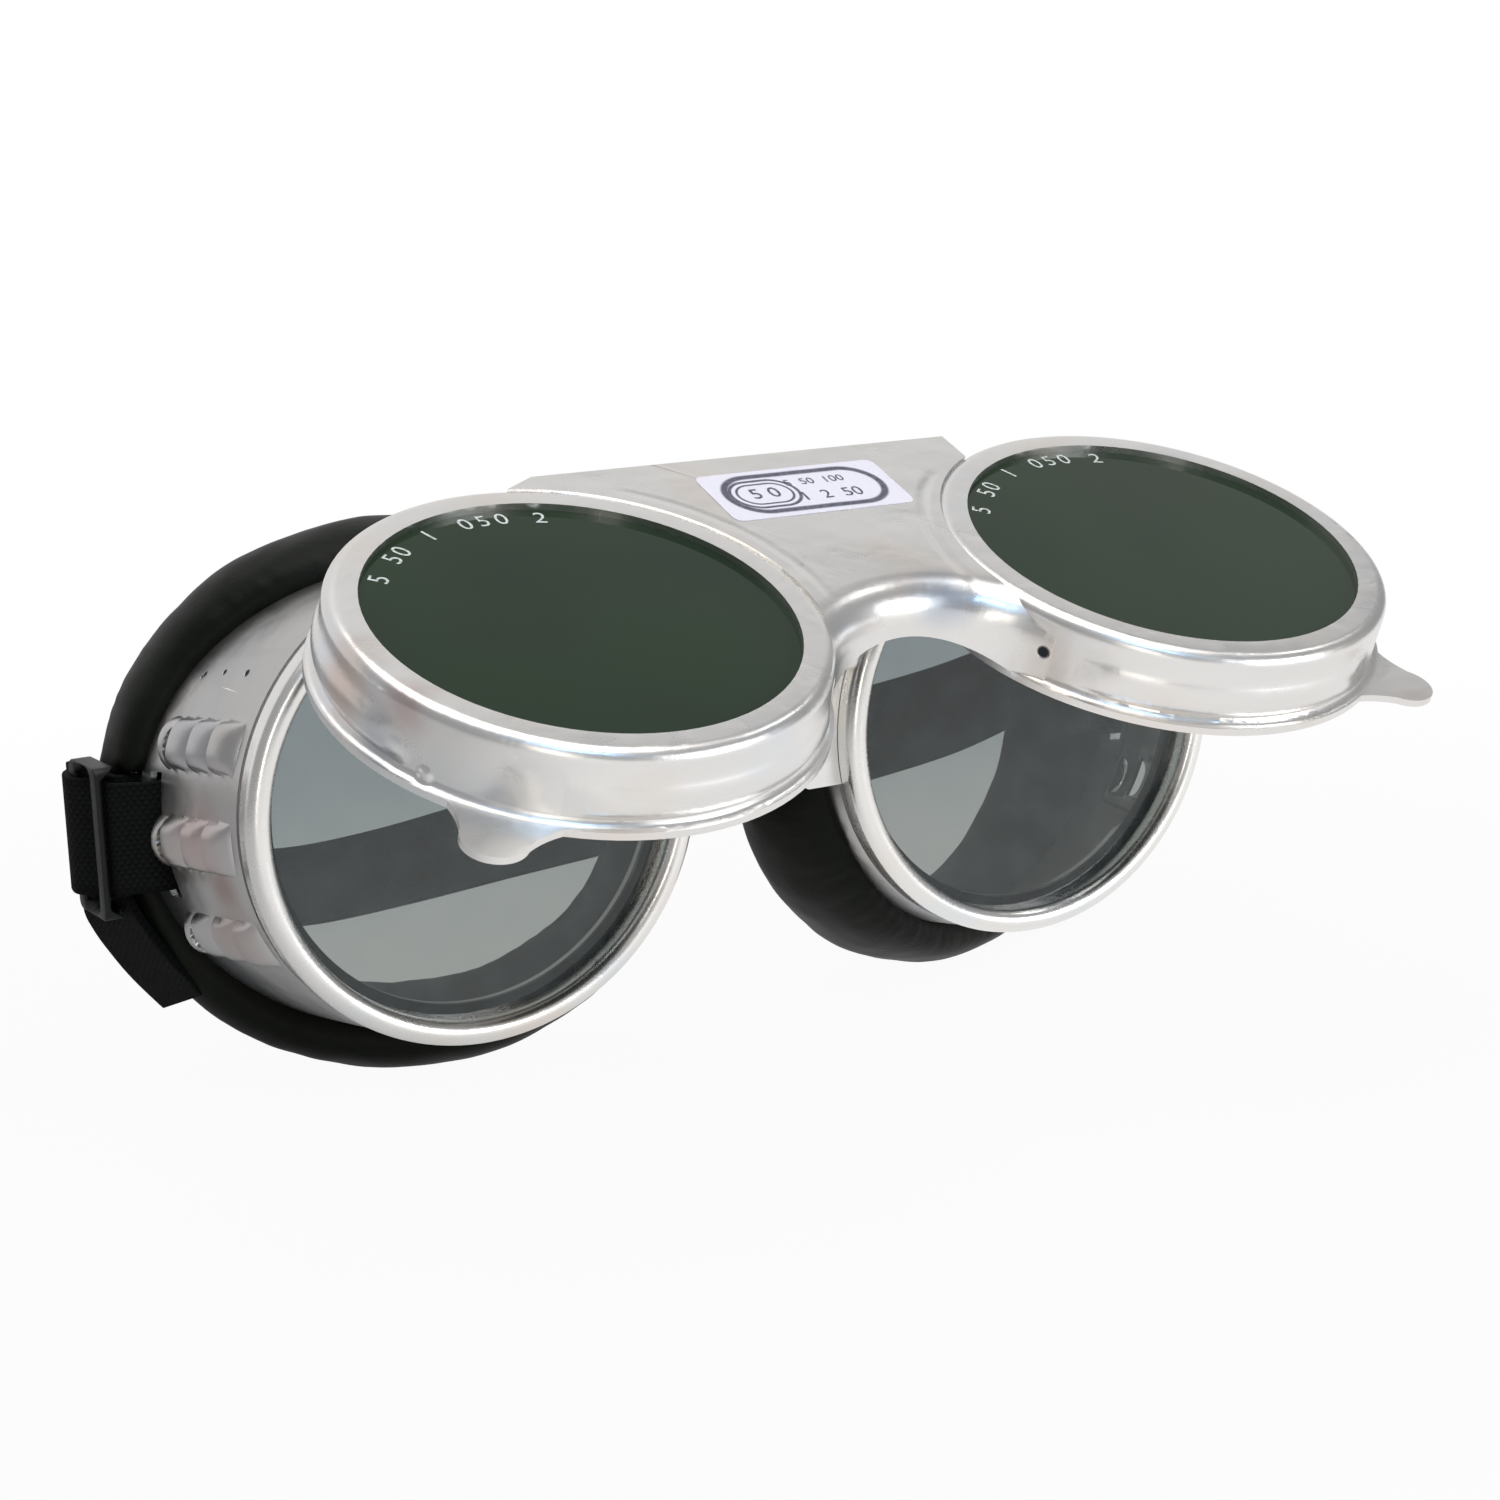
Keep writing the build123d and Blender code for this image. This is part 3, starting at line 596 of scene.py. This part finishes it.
# ---------------------------------------------------------------- nose bridge and hinge
# One pressed strip joins the two cups: a loop round each neck, a web over the nose and two
# curled knuckles for the hinge. A plain steel pin runs through them.
dress(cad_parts["nose_bridge"],
      bare_sheet("bridge_aluminium", tone=(0.72, 0.71, 0.70), gloss=0.30, wave=0.0003))
steel, place = new_material("pin_steel")
turned = place.stretched((1.0, 0.1, 0.1)).noise(900.0, 2.0)
surface(steel, place.node("ShaderNodeBsdfPrincipled", Metallic=1.0,
                          Base_Color=turned.blend((0.52, 0.52, 0.53), (0.66, 0.66, 0.66)),
                          Roughness=turned * 0.2 + 0.2, Normal=turned.bump(0.3, 0.00003)))
dress(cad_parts["hinge_pin"], steel)

# ---------------------------------------------------------------- flip frame
# The flip-up front is drawn from one aluminium sheet: two deep rims for the dark glasses, a flat
# plate between them that is folded down over the nose, small beads, a thumb tab on each side.
lean = math.radians(67)
flap_up = Vector((0, math.sin(lean), math.cos(lean)))
flap_face = Vector((0, -math.cos(lean), math.sin(lean)))
hinge = Vector((0, -0.0011, 0.02395))
flap_origin = hinge - flap_up * hinge.z + flap_face * 0.0109     # midway between the rims
# sizes on the frame and on what it carries are in millimetres
rim_x = 36.9                 # from flap_origin to the middle of each rim
half_sheet = 0.4
wall_middle = 25.65          # radius of a rim's wall, in its sheet's middle
bead_top, bead_foot, bead_swell = -3.4, -7.4, 0.6
bead_arcs = ((215.0, 84.0), (335.0, 65.0))       # start and length, degrees from the temple
run_out = 9.0                # degrees over which a bead sinks back into the wall
slack = 0.02                 # for what lies on a bead's edge, in millimetres or degrees


def flap_point(x, w, n=0.0):
    """A place on the flip frame, x across it, w up it and n out of its face."""
    return flap_origin + Vector((x, 0, 0)) / 1000 + (flap_up * w + flap_face * n) / 1000


def flap_axes(place):
    """The x, w and n of a place, as flap_point takes them."""
    x, y, z = place.axes()
    y = (y - flap_origin.y) * 1000
    z = (z - flap_origin.z) * 1000
    return (x * 1000, y * flap_up.y + z * flap_up.z, y * flap_face.y + z * flap_face.z)


def pressed_marks(place):
    """Height of the marks that the press leaves on the flip frame: a groove round each rim and
    a crease on the flat plate, and two small domes on the left rim's wall."""
    x, w, n = flap_axes(place)
    from_right = ((x - rim_x) * (x - rim_x) + w * w) ** 0.5
    from_left = ((x + rim_x) * (x + rim_x) + w * w) ** 0.5
    # each line is 1 along its middle and fades out where a step of w does
    groove_right = (abs(from_right - (28.4 - w * 0.055)).step(1.1, 0.0)
                    * w.step(-5.0, 1.0) * w.step(21.0, 16.0))
    groove_left = abs(from_left - 27.7).step(1.0, 0.0) * w.step(24.0, 19.0) * w.step(-6.0, 2.0)
    crease = abs(from_left - 33.5 + x * 0.15).step(0.5, 0.0) * w.step(21.0, 22.5)
    marks = (groove_right * -0.55 + groove_left * -0.3 + crease * 0.15) * n.step(-0.6, -0.2)
    # each dome's middle and radius in the goggles' own axes, and how far it rises
    for *middle, radius, rise in ((-61.26, -34.72, 14.82, 1.9, 1.2),
                                  (-59.26, -36.83, 12.68, 1.2, 1.0)):
        marks = marks + place.away_from(*middle).step(radius / 1000, 0.0) * rise
    return marks


pressing = merged_copy("flip_frame", "flip_pressing", 2e-6)
# the beads' square ends are sunk to run out smoothly
for v in pressing.data.vertices:
    local = v.co - flap_origin
    x, w, n = local.x * 1000, local.dot(flap_up) * 1000, local.dot(flap_face) * 1000
    if not bead_foot - slack < n < bead_top + slack:
        continue
    side = 1 if x > 0 else -1
    out_x = x * side - rim_x
    reach = math.hypot(out_x, w)
    at = math.degrees(math.atan2(w, out_x)) % 360
    up_bead = (n - (bead_top + bead_foot) / 2) / ((bead_top - bead_foot) / 2)
    swell = bead_swell * (1 - up_bead * up_bead)
    for start, arc in bead_arcs:
        run = (at - start + slack) % 360
        near_end = min(max(run, 0.0), max(arc - run, 0.0)) / run_out
        if run > arc + 2 * slack or reach < wall_middle - half_sheet - 0.05 or near_end >= 1:
            continue
        sunk = swell * (1 - near_end * near_end * (3 - 2 * near_end))
        # only what stands proud of the plain wall sinks
        outer = reach > wall_middle + swell
        proud = reach - (wall_middle + (half_sheet if outer else -half_sheet))
        sunk = min(sunk, max(proud, 0.0))
        v.co -= (Vector((side, 0, 0)) * out_x + flap_up * w) / reach * (sunk / 1000)
bpy.ops.object.shade_smooth_by_angle(angle=press_corner)
flip_metal = bare_sheet("flip_aluminium", tone=(0.80, 0.785, 0.765), gloss=0.29, wave=0.00032,
                        pressed=pressed_marks,
                        # painted reflections: pink, brown and blue patches on the rims and over
                        # the plate's fold
                        painted_reflections=((-63.2, -27.5, 20.5, 6.5, (0.82, 0.70, 0.65)),
                                (-61.0, -36.5, 19.5, 4.5, (0.78, 0.66, 0.66)),
                                (-62.4, -32.0, 15.5, 3.5, (0.76, 0.80, 0.86)),
                                (4.5, -30.3, 22.3, 5.5, (0.62, 0.69, 0.80)),
                                (62.5, -30.0, 18.5, 6.0, (0.84, 0.74, 0.70)),
                                # painted highlights: bright patches over the two small domes on
                                # the left rim's wall
                                (-61.5, -34.4, 15.1, 1.5, (1.22, 1.24, 1.26)),
                                (-59.4, -36.6, 12.9, 0.8, (1.20, 1.22, 1.25))),
                        pits=((13.24, -36.56, 15.67, 0.85),))
dress(pressing, flip_metal)
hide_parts("flip_frame")
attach(pressing, "flip")

# ---------------------------------------------------------------- dark glasses and their springs
# A round dark green welding glass sits behind each rim's lip and a sprung wire ring holds it
# there. Plain white figures are printed along its upper edge.
shade, place = new_material("dark_glass")
cloudy = place.noise(30.0, 2.0)
wipe = place.stretched((0.15, 1.0, 1.0), (0, 0, 0.7)).noise(220.0, 5.0)
surface(shade, place.node(
    "ShaderNodeBsdfPrincipled", IOR=1.5, Specular_IOR_Level=0.13,
    Base_Color=cloudy.step(0.35, 0.7).blend((0.0085, 0.0210, 0.0095), (0.0110, 0.0270, 0.0105)),
    Roughness=wipe.step(0.5, 0.8) * 0.05 + 0.04))
ink, place = new_material("white_figures")
worn = place.noise(3000.0, 2.0)
surface(ink, place.node(
    "ShaderNodeBsdfPrincipled", Roughness=worn * 0.2 + 0.5,
    Base_Color=worn.step(0.3, 0.6).blend((0.34, 0.37, 0.35), (0.62, 0.66, 0.64))))
flap_turn = Matrix((Vector((1, 0, 0)), flap_up, flap_face)).transposed().to_4x4()
printed_radius, printed_size, printed_above = 20.6, 3.1, -0.77
# each figure and its angle round the glass, in degrees from the right
printed_figures = (("5", 146), ("5", 133), ("0", 127.5), ("1", 114), ("0", 100), ("5", 94),
                   ("0", 88), ("2", 76))


def figures(text, size, centre, angle, above):
    """Flat printed figures this far above the flip frame's face, turned by an angle on it."""
    bpy.ops.object.text_add()
    piece = bpy.context.object
    piece.data.body = text
    piece.data.size = size / 1000
    piece.data.align_x = "CENTER"
    piece.data.align_y = "CENTER"
    bpy.ops.object.convert(target="MESH")
    piece = bpy.context.object
    piece.data.transform(Matrix.Translation(flap_point(*centre, above)) @ flap_turn
                         @ Matrix.Rotation(angle, 4, "Z"))
    return piece


for side, middle in (("left", -rim_x), ("right", rim_x)):
    dress(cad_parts[side + "_shade_lens"], shade)
    dress(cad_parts[side + "_shade_spring"], steel)
    marks = []
    for text, degrees in printed_figures:
        turn = math.radians(degrees)
        centre = (middle + printed_radius * math.cos(turn), printed_radius * math.sin(turn))
        marks.append(figures(text, printed_size, centre, turn - math.pi / 2, printed_above))
    mark = joined(marks, side + "_shade_figures")
    dress(mark, ink)
    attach(mark, "flip")

# ---------------------------------------------------------------- paper label
# A small paper label is stuck on the flat plate. Its corners are cut round by hand, and it is
# printed with dark outlines and plain figures only.
label_middle = (0.3, 18.7)
label_half = (11.7, 5.1)
label_corner = 1.1
figures_above = 0.11
bpy.ops.mesh.primitive_grid_add(x_subdivisions=46, y_subdivisions=20, size=1)
label = bpy.context.object
label.name = "plate_label"
for v in label.data.vertices:
    x, y = v.co.x * 2 * label_half[0], v.co.y * 2 * label_half[1]
    over_x = max(abs(x) - (label_half[0] - label_corner), 0.0)
    over_y = max(abs(y) - (label_half[1] - label_corner), 0.0)
    over = math.hypot(over_x, over_y)
    if over > label_corner:
        x = math.copysign(label_half[0] - label_corner + over_x * label_corner / over, x)
        y = math.copysign(label_half[1] - label_corner + over_y * label_corner / over, y)
    # it is stuck on a little askew and isn't quite flat
    lifted = 0.07 + 0.02 * noise.noise(Vector((x * 0.4, y * 0.4, 3.0)))
    v.co = flap_point(label_middle[0] + x, label_middle[1] + y + x * 0.004, lifted)
thick = label.modifiers.new("paper", "SOLIDIFY")
thick.thickness = 0.00006
thick.offset = -1
apply_all(label)
paper, place = new_material("label_paper")
across_label, up_label, _ = flap_axes(place)
across_label = across_label - label_middle[0]
up_label = up_label - label_middle[1]


def outline(half_length, half_height, shift, line):
    """A rounded outline of the given line width, 1 on the line."""
    along = (abs(across_label - shift) - (half_length - half_height)).math("MAXIMUM", 0.0)
    off = (along * along + up_label * up_label) ** 0.5
    return abs(off - half_height).step(line, line * 0.4)


printed = outline(9.9, 3.9, 0.0, 0.62)
for inner in (outline(4.2, 2.9, -5.2, 0.30), outline(3.4, 2.15, -5.2, 0.22)):
    printed = printed.math("MAXIMUM", inner)
fibres = place.noise(2200.0, 4.0)
plain = fibres.blend((0.72, 0.70, 0.79), (0.80, 0.78, 0.86))
surface(paper, place.node(
    "ShaderNodeBsdfPrincipled", Roughness=fibres * 0.15 + 0.40,
    Base_Color=(printed * (fibres * 0.3 + 0.75)).blend(plain, (0.012, 0.014, 0.050)),
    Normal=fibres.bump(0.25, 0.00003)))
dress(label, paper)
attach(label, "flip")
dark_ink, place = new_material("dark_figures")
worn = place.noise(2500.0, 2.0)
surface(dark_ink, place.node(
    "ShaderNodeBsdfPrincipled", Roughness=worn * 0.2 + 0.4,
    Base_Color=worn.step(0.35, 0.7).blend((0.035, 0.035, 0.07), (0.16, 0.16, 0.22))))
label_marks = joined([figures("5 0", 3.0, (-4.9, 18.7), 0.0, figures_above),
                      figures("5  50  100", 1.9, (2.4, 20.4), 0.0, figures_above),
                      figures("1  2  50", 2.6, (2.9, 17.2), 0.0, figures_above)],
                     "label_figures")
dress(label_marks, dark_ink)
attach(label_marks, "flip")

# ---------------------------------------------------------------- head strap
# One length of black woven webbing, doubled through the two slots of each cup. Its left end runs
# through the slide and hangs down as a free tail along the pad.
band_width = 12.5            # millimetres, as all sizes of the strap's line
band_middle = -2.9           # its height
band_threads = 14            # strips across it
band_thickness = 0.00095     # metres
rib_pitch, warp_pitch = 0.08, 0.055          # centimetres, along and across the band


def curve(values, index, part):
    """A smooth line's value, this part of the way from one of its values to the next."""
    before, start = values[max(index - 1, 0)], values[index]
    end, after = values[index + 1], values[min(index + 2, len(values) - 1)]
    return ((start * 2) + (end - before) * part
            + (before * 2 - start * 5 + end * 4 - after) * (part * part)
            + (start * 3 - before - end * 3 + after) * (part * part * part)) * 0.5


def webbing(name, points, leans, widths, steps):
    """A flat woven band along points, in millimetres. leans are its width directions and widths
    its widths at them. u runs along the band and v across it, in centimetres."""
    points = [Vector(p) for p in points]
    leans = [Vector(d).normalized() for d in leans]
    runs = [0.0]
    for a, b in zip(points, points[1:]):
        runs.append(runs[-1] + (b - a).length)
    rows = []
    for step in range(steps + 1):
        run = runs[-1] * step / steps
        i = max(j for j in range(len(points) - 1) if runs[j] <= run + 1e-9)
        part = min((run - runs[i]) / (runs[i + 1] - runs[i]), 1.0)
        rows.append((curve(points, i, part), curve(leans, i, part).normalized(),
                     curve(widths, i, part), run))
    bpy.ops.mesh.primitive_grid_add(x_subdivisions=steps, y_subdivisions=band_threads, size=1)
    band = bpy.context.object
    band.name = name
    mesh = band.data
    place_of = [(round((v.co.x + 0.5) * steps), v.co.y) for v in mesh.vertices]
    layer = mesh.uv_layers.active or mesh.uv_layers.new(name="UVMap")
    for loop in mesh.loops:
        row, side = place_of[loop.vertex_index]
        layer.data[loop.index].uv = (rows[row][3] / 10, side * rows[row][2] / 10)
    for v, (row, side) in zip(mesh.vertices, place_of):
        middle, lean_to, width, _ = rows[row]
        v.co = (middle + lean_to * (side * width)) / 1000
    cover = band.modifiers.new("thickness", "SOLIDIFY")
    cover.thickness = band_thickness
    cover.offset = 0
    cover.use_even_offset = True
    rim = band.modifiers.new("rim", "BEVEL")
    rim.width = 0.00028
    rim.segments = 2
    rim.limit_method = "ANGLE"
    rim.angle_limit = math.radians(60)
    apply_all(band)
    bpy.ops.object.shade_smooth_by_angle(angle=math.radians(50))
    return band


# x and y from behind the slide forwards, in through the front slot, round the bar between the
# two slots and out through the rear one
through = [(-71.2, 36.4), (-71.3, 35.0), (-71.9, 33.4), (-73.0, 31.8), (-73.55, 30.0),
           (-73.6, 28.3), (-73.0, 27.0), (-71.95, 25.9), (-71.5, 24.8), (-71.4, 23.2),
           (-71.3, 21.9), (-70.9, 20.9), (-69.6, 20.0), (-68.1, 18.95), (-66.8, 18.75),
           (-65.3, 19.1), (-64.5, 19.8), (-64.3, 20.8), (-64.3, 22.4), (-64.8, 23.3),
           (-66.2, 23.75), (-68.4, 24.2), (-69.6, 24.7), (-69.93, 25.8), (-69.97, 27.5)]
# the band lies wider and lower where the slide holds it open
loose = [0.4, 0.6, 0.9, 1.0, 1.0, 1.0, 0.95, 0.9, 0.8, 0.7, 0.55, 0.3, 0.1]
# x, y and z behind the cups, and how far the band leans back there, in degrees
behind = [(-70.05, 30.0, -2.9), (-70.12, 33.0, -2.9), (-70.1, 37.0, -3.2), (-68.9, 40.2, -4.3),
          (-65.8, 41.3, -6.6), (-61.0, 41.5, -10.6), (-55.5, 41.5, -14.0), (-49.5, 41.4, -16.2),
          (-42.0, 41.3, -17.2), (-30.0, 41.3, -16.7), (-15.0, 41.3, -15.2), (0.0, 41.3, -13.7),
          (20.0, 41.3, -11.6), (38.0, 41.3, -9.7), (52.0, 41.3, -8.0), (61.0, 41.4, -6.2),
          (66.0, 41.2, -4.7), (69.0, 40.0, -3.6), (70.05, 37.0, -3.0), (70.1, 33.0, -2.9),
          (70.05, 30.0, -2.9)]
leaning = [0, 0, 0, 3, 10, 25, 42, 52, 56, 56, 50, 40, 28, 18, 12, 6, 2, 0, 0, 0, 0]
# the right end goes in through the rear slot and out through the front one, and lies on itself
right_through = [(-x, y) for x, y in reversed(through)][:-12]
right_end = [(69.9, 20.7), (70.7, 21.6), (70.9, 23.5), (70.98, 26.5), (71.04, 29.8)]
points, leans, widths = [], [], []
for index, (x, y) in enumerate(through):
    extra = loose[index] if index < len(loose) else 0.0
    points.append((x, y, band_middle - extra * 0.8))
    leans.append((0, 0, 1))
    widths.append(band_width + extra)
for place, degrees in zip(behind, leaning):
    points.append(place)
    leans.append((0, math.sin(math.radians(degrees)), math.cos(math.radians(degrees))))
for x, y in right_through + right_end:
    points.append((x, y, band_middle))
    leans.append((0, 0, 1))
widths += [band_width] * (len(points) - len(widths))
main_band = webbing("webbing_band", points, leans, widths, 640)
# the free tail twists forward as it hangs: its front and rear edges, then its cut end
front_edge = [(-70.2, 21.9, -8.2), (-70.0, 21.7, -10.2), (-69.0, 21.6, -12.6),
              (-67.5, 21.6, -15.2), (-65.7, 21.6, -18.0), (-63.8, 21.6, -20.5),
              (-62.4, 21.8, -22.6)]
rear_edge = [(-70.7, 33.2, -8.4), (-71.3, 33.1, -11.0), (-71.6, 33.0, -13.6),
             (-70.6, 33.0, -16.2), (-69.0, 33.0, -19.0), (-66.9, 32.9, -22.2),
             (-63.4, 32.6, -26.6)]
tail_points = [(Vector(a) + Vector(b)) / 2 for a, b in zip(front_edge, rear_edge)]
tail_leans = [Vector(b) - Vector(a) for a, b in zip(front_edge, rear_edge)]
tail = webbing("webbing_tail", tail_points, tail_leans, [lean.length for lean in tail_leans], 60)
strap = joined([main_band, tail], "strap_webbing")

woven, place = new_material("black_webbing")
along, sideways, _ = place.other("UV").axes()
# twilled ribs across the band, crossed by fine warp threads; v is 0.6 at the selvages
half_step = (sideways * (math.pi / warp_pitch)).math("SINE").step(-0.1, 0.1)
twill = (along * (2 * math.pi / rib_pitch) + half_step * math.pi).math("SINE") * 0.5 + 0.5
warp = (sideways * (2 * math.pi / warp_pitch)).math("SINE") * 0.5 + 0.5
selvage = abs(sideways).step(0.52, 0.60)
fuzz = place.noise(1800.0, 4.0)
wear = place.noise(120.0, 3.0)
weave = (twill * 0.65 + warp * 0.35) * (1 - selvage * 0.5) + fuzz * 0.25
worn = (weave * 0.8 + wear * 0.4).step(0.2, 1.0)
surface(woven, place.node(
    "ShaderNodeBsdfPrincipled", Roughness=fuzz * 0.15 + 0.75, Specular_IOR_Level=0.10,
    Base_Color=worn.blend((0.0012, 0.0014, 0.0013), (0.0075, 0.0080, 0.0075)),
    Normal=weave.bump(0.8, 0.00018)))
dress(strap, woven)
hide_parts("head_strap")
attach(strap, "cups")

# ---------------------------------------------------------------- strap slide
# A moulded black plastic ladder slide with three bars. The webbing goes under the outer two and
# over the middle one, so the slide grips it wherever it is pushed.
bar_edges = (0.0, 1.9, 3.7, 5.1, 6.9, 8.8)       # millimetres rearwards, two for each bar
frame_edges = (-8.7, -7.4, 7.4, 8.7)             # millimetres up from the slide's middle
slide_depth = 2.5
near = 0.2                   # what lies this close to an edge is on it
outer_bars_from, middle_bar_to = 1.75, 0.65      # depths, so that the webbing fits between
slope = math.radians(1.5)
outwards = Vector((-math.cos(slope), -math.sin(slope), 0))
rearwards = Vector((-math.sin(slope), math.cos(slope), 0))
slide_low, slide_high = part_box("strap_slide")
# the middle of the slide's inner face, at its front end
foot = Vector((slide_high.x * 1000 - 0.02, slide_low.y * 1000 + 0.07, -3.8))


def on_slide(depth, run, height):
    """A place on the slide: depth out from its inner face, run rearwards, height up."""
    return (foot + outwards * depth + rearwards * run + Vector((0, 0, height))) / 1000


def slide_axes(place):
    """The depth, run and height of a place, as on_slide takes them."""
    local = place * 1000 - foot
    return local.dot(outwards), local.dot(rearwards), local.z


bpy.ops.mesh.primitive_grid_add(x_subdivisions=5, y_subdivisions=3, size=1)
slide = bpy.context.object
slide.name = "ladder_slide"
bpy.ops.object.mode_set(mode="EDIT")
mesh = bmesh.from_edit_mesh(slide.data)
grid = {v: (round((v.co.x + 0.5) * 5), round((v.co.y + 0.5) * 3)) for v in mesh.verts}
for v, (column, row) in grid.items():
    v.co = on_slide(0.0, bar_edges[column], frame_edges[row])
# the two windows between the bars
for face in mesh.faces:
    column, row = (min(grid[v][i] for v in face.verts) for i in range(2))
    face.select = row == 1 and column in (1, 3)
bmesh.update_edit_mesh(slide.data)
bpy.ops.mesh.delete(type="FACE")
bpy.ops.mesh.select_all(action="SELECT")
bpy.ops.mesh.extrude_region_move(
    TRANSFORM_OT_translate={"value": outwards * (slide_depth / 1000)})
bpy.ops.mesh.select_all(action="SELECT")
bpy.ops.mesh.normals_make_consistent(inside=False)
bpy.ops.object.mode_set(mode="OBJECT")
# between the side rails, the outer bars are thinned from within and the middle one from outside
for v in slide.data.vertices:
    depth, run, height = slide_axes(v.co)
    inner = depth < slide_depth / 2
    if abs(height) < frame_edges[2] + near:
        middle_bar = bar_edges[2] - near < run < bar_edges[3] + near
        if inner and not middle_bar:
            v.co = on_slide(outer_bars_from, run, height)
        if middle_bar and not inner:
            v.co = on_slide(middle_bar_to, run, height)
# the frame's four corners are rounded, and then all edges a little
corners = slide.vertex_groups.new(name="corners")
for v in slide.data.vertices:
    depth, run, height = slide_axes(v.co)
    at_end = not bar_edges[0] + near < run < bar_edges[5] - near
    if at_end and abs(height) > frame_edges[3] - near:
        corners.add([v.index], 1.0, "REPLACE")
round_off = slide.modifiers.new("round_corners", "BEVEL")
round_off.affect = "EDGES"
round_off.width = 0.0011
round_off.segments = 5
round_off.limit_method = "VGROUP"
round_off.vertex_group = "corners"
soften = slide.modifiers.new("soften", "BEVEL")
soften.width = 0.00032
soften.segments = 3
soften.limit_method = "ANGLE"
soften.angle_limit = math.radians(25)
apply_all(slide)
bpy.ops.object.shade_smooth_by_angle(angle=math.radians(40))
plastic, place = new_material("slide_plastic")
speckle = place.noise(1500.0, 3.0)
rub = place.noise(190.0, 4.0)
surface(plastic, place.node(
    "ShaderNodeBsdfPrincipled", Roughness=rub * 0.2 + 0.34, Specular_IOR_Level=0.3,
    Base_Color=rub.step(0.45, 0.75).blend((0.0045, 0.0055, 0.0050), (0.0140, 0.0160, 0.0150)),
    Normal=(speckle + rub).bump(0.35, 0.00006)))
dress(slide, plastic)
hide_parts("strap_slide")
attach(slide, "slide")
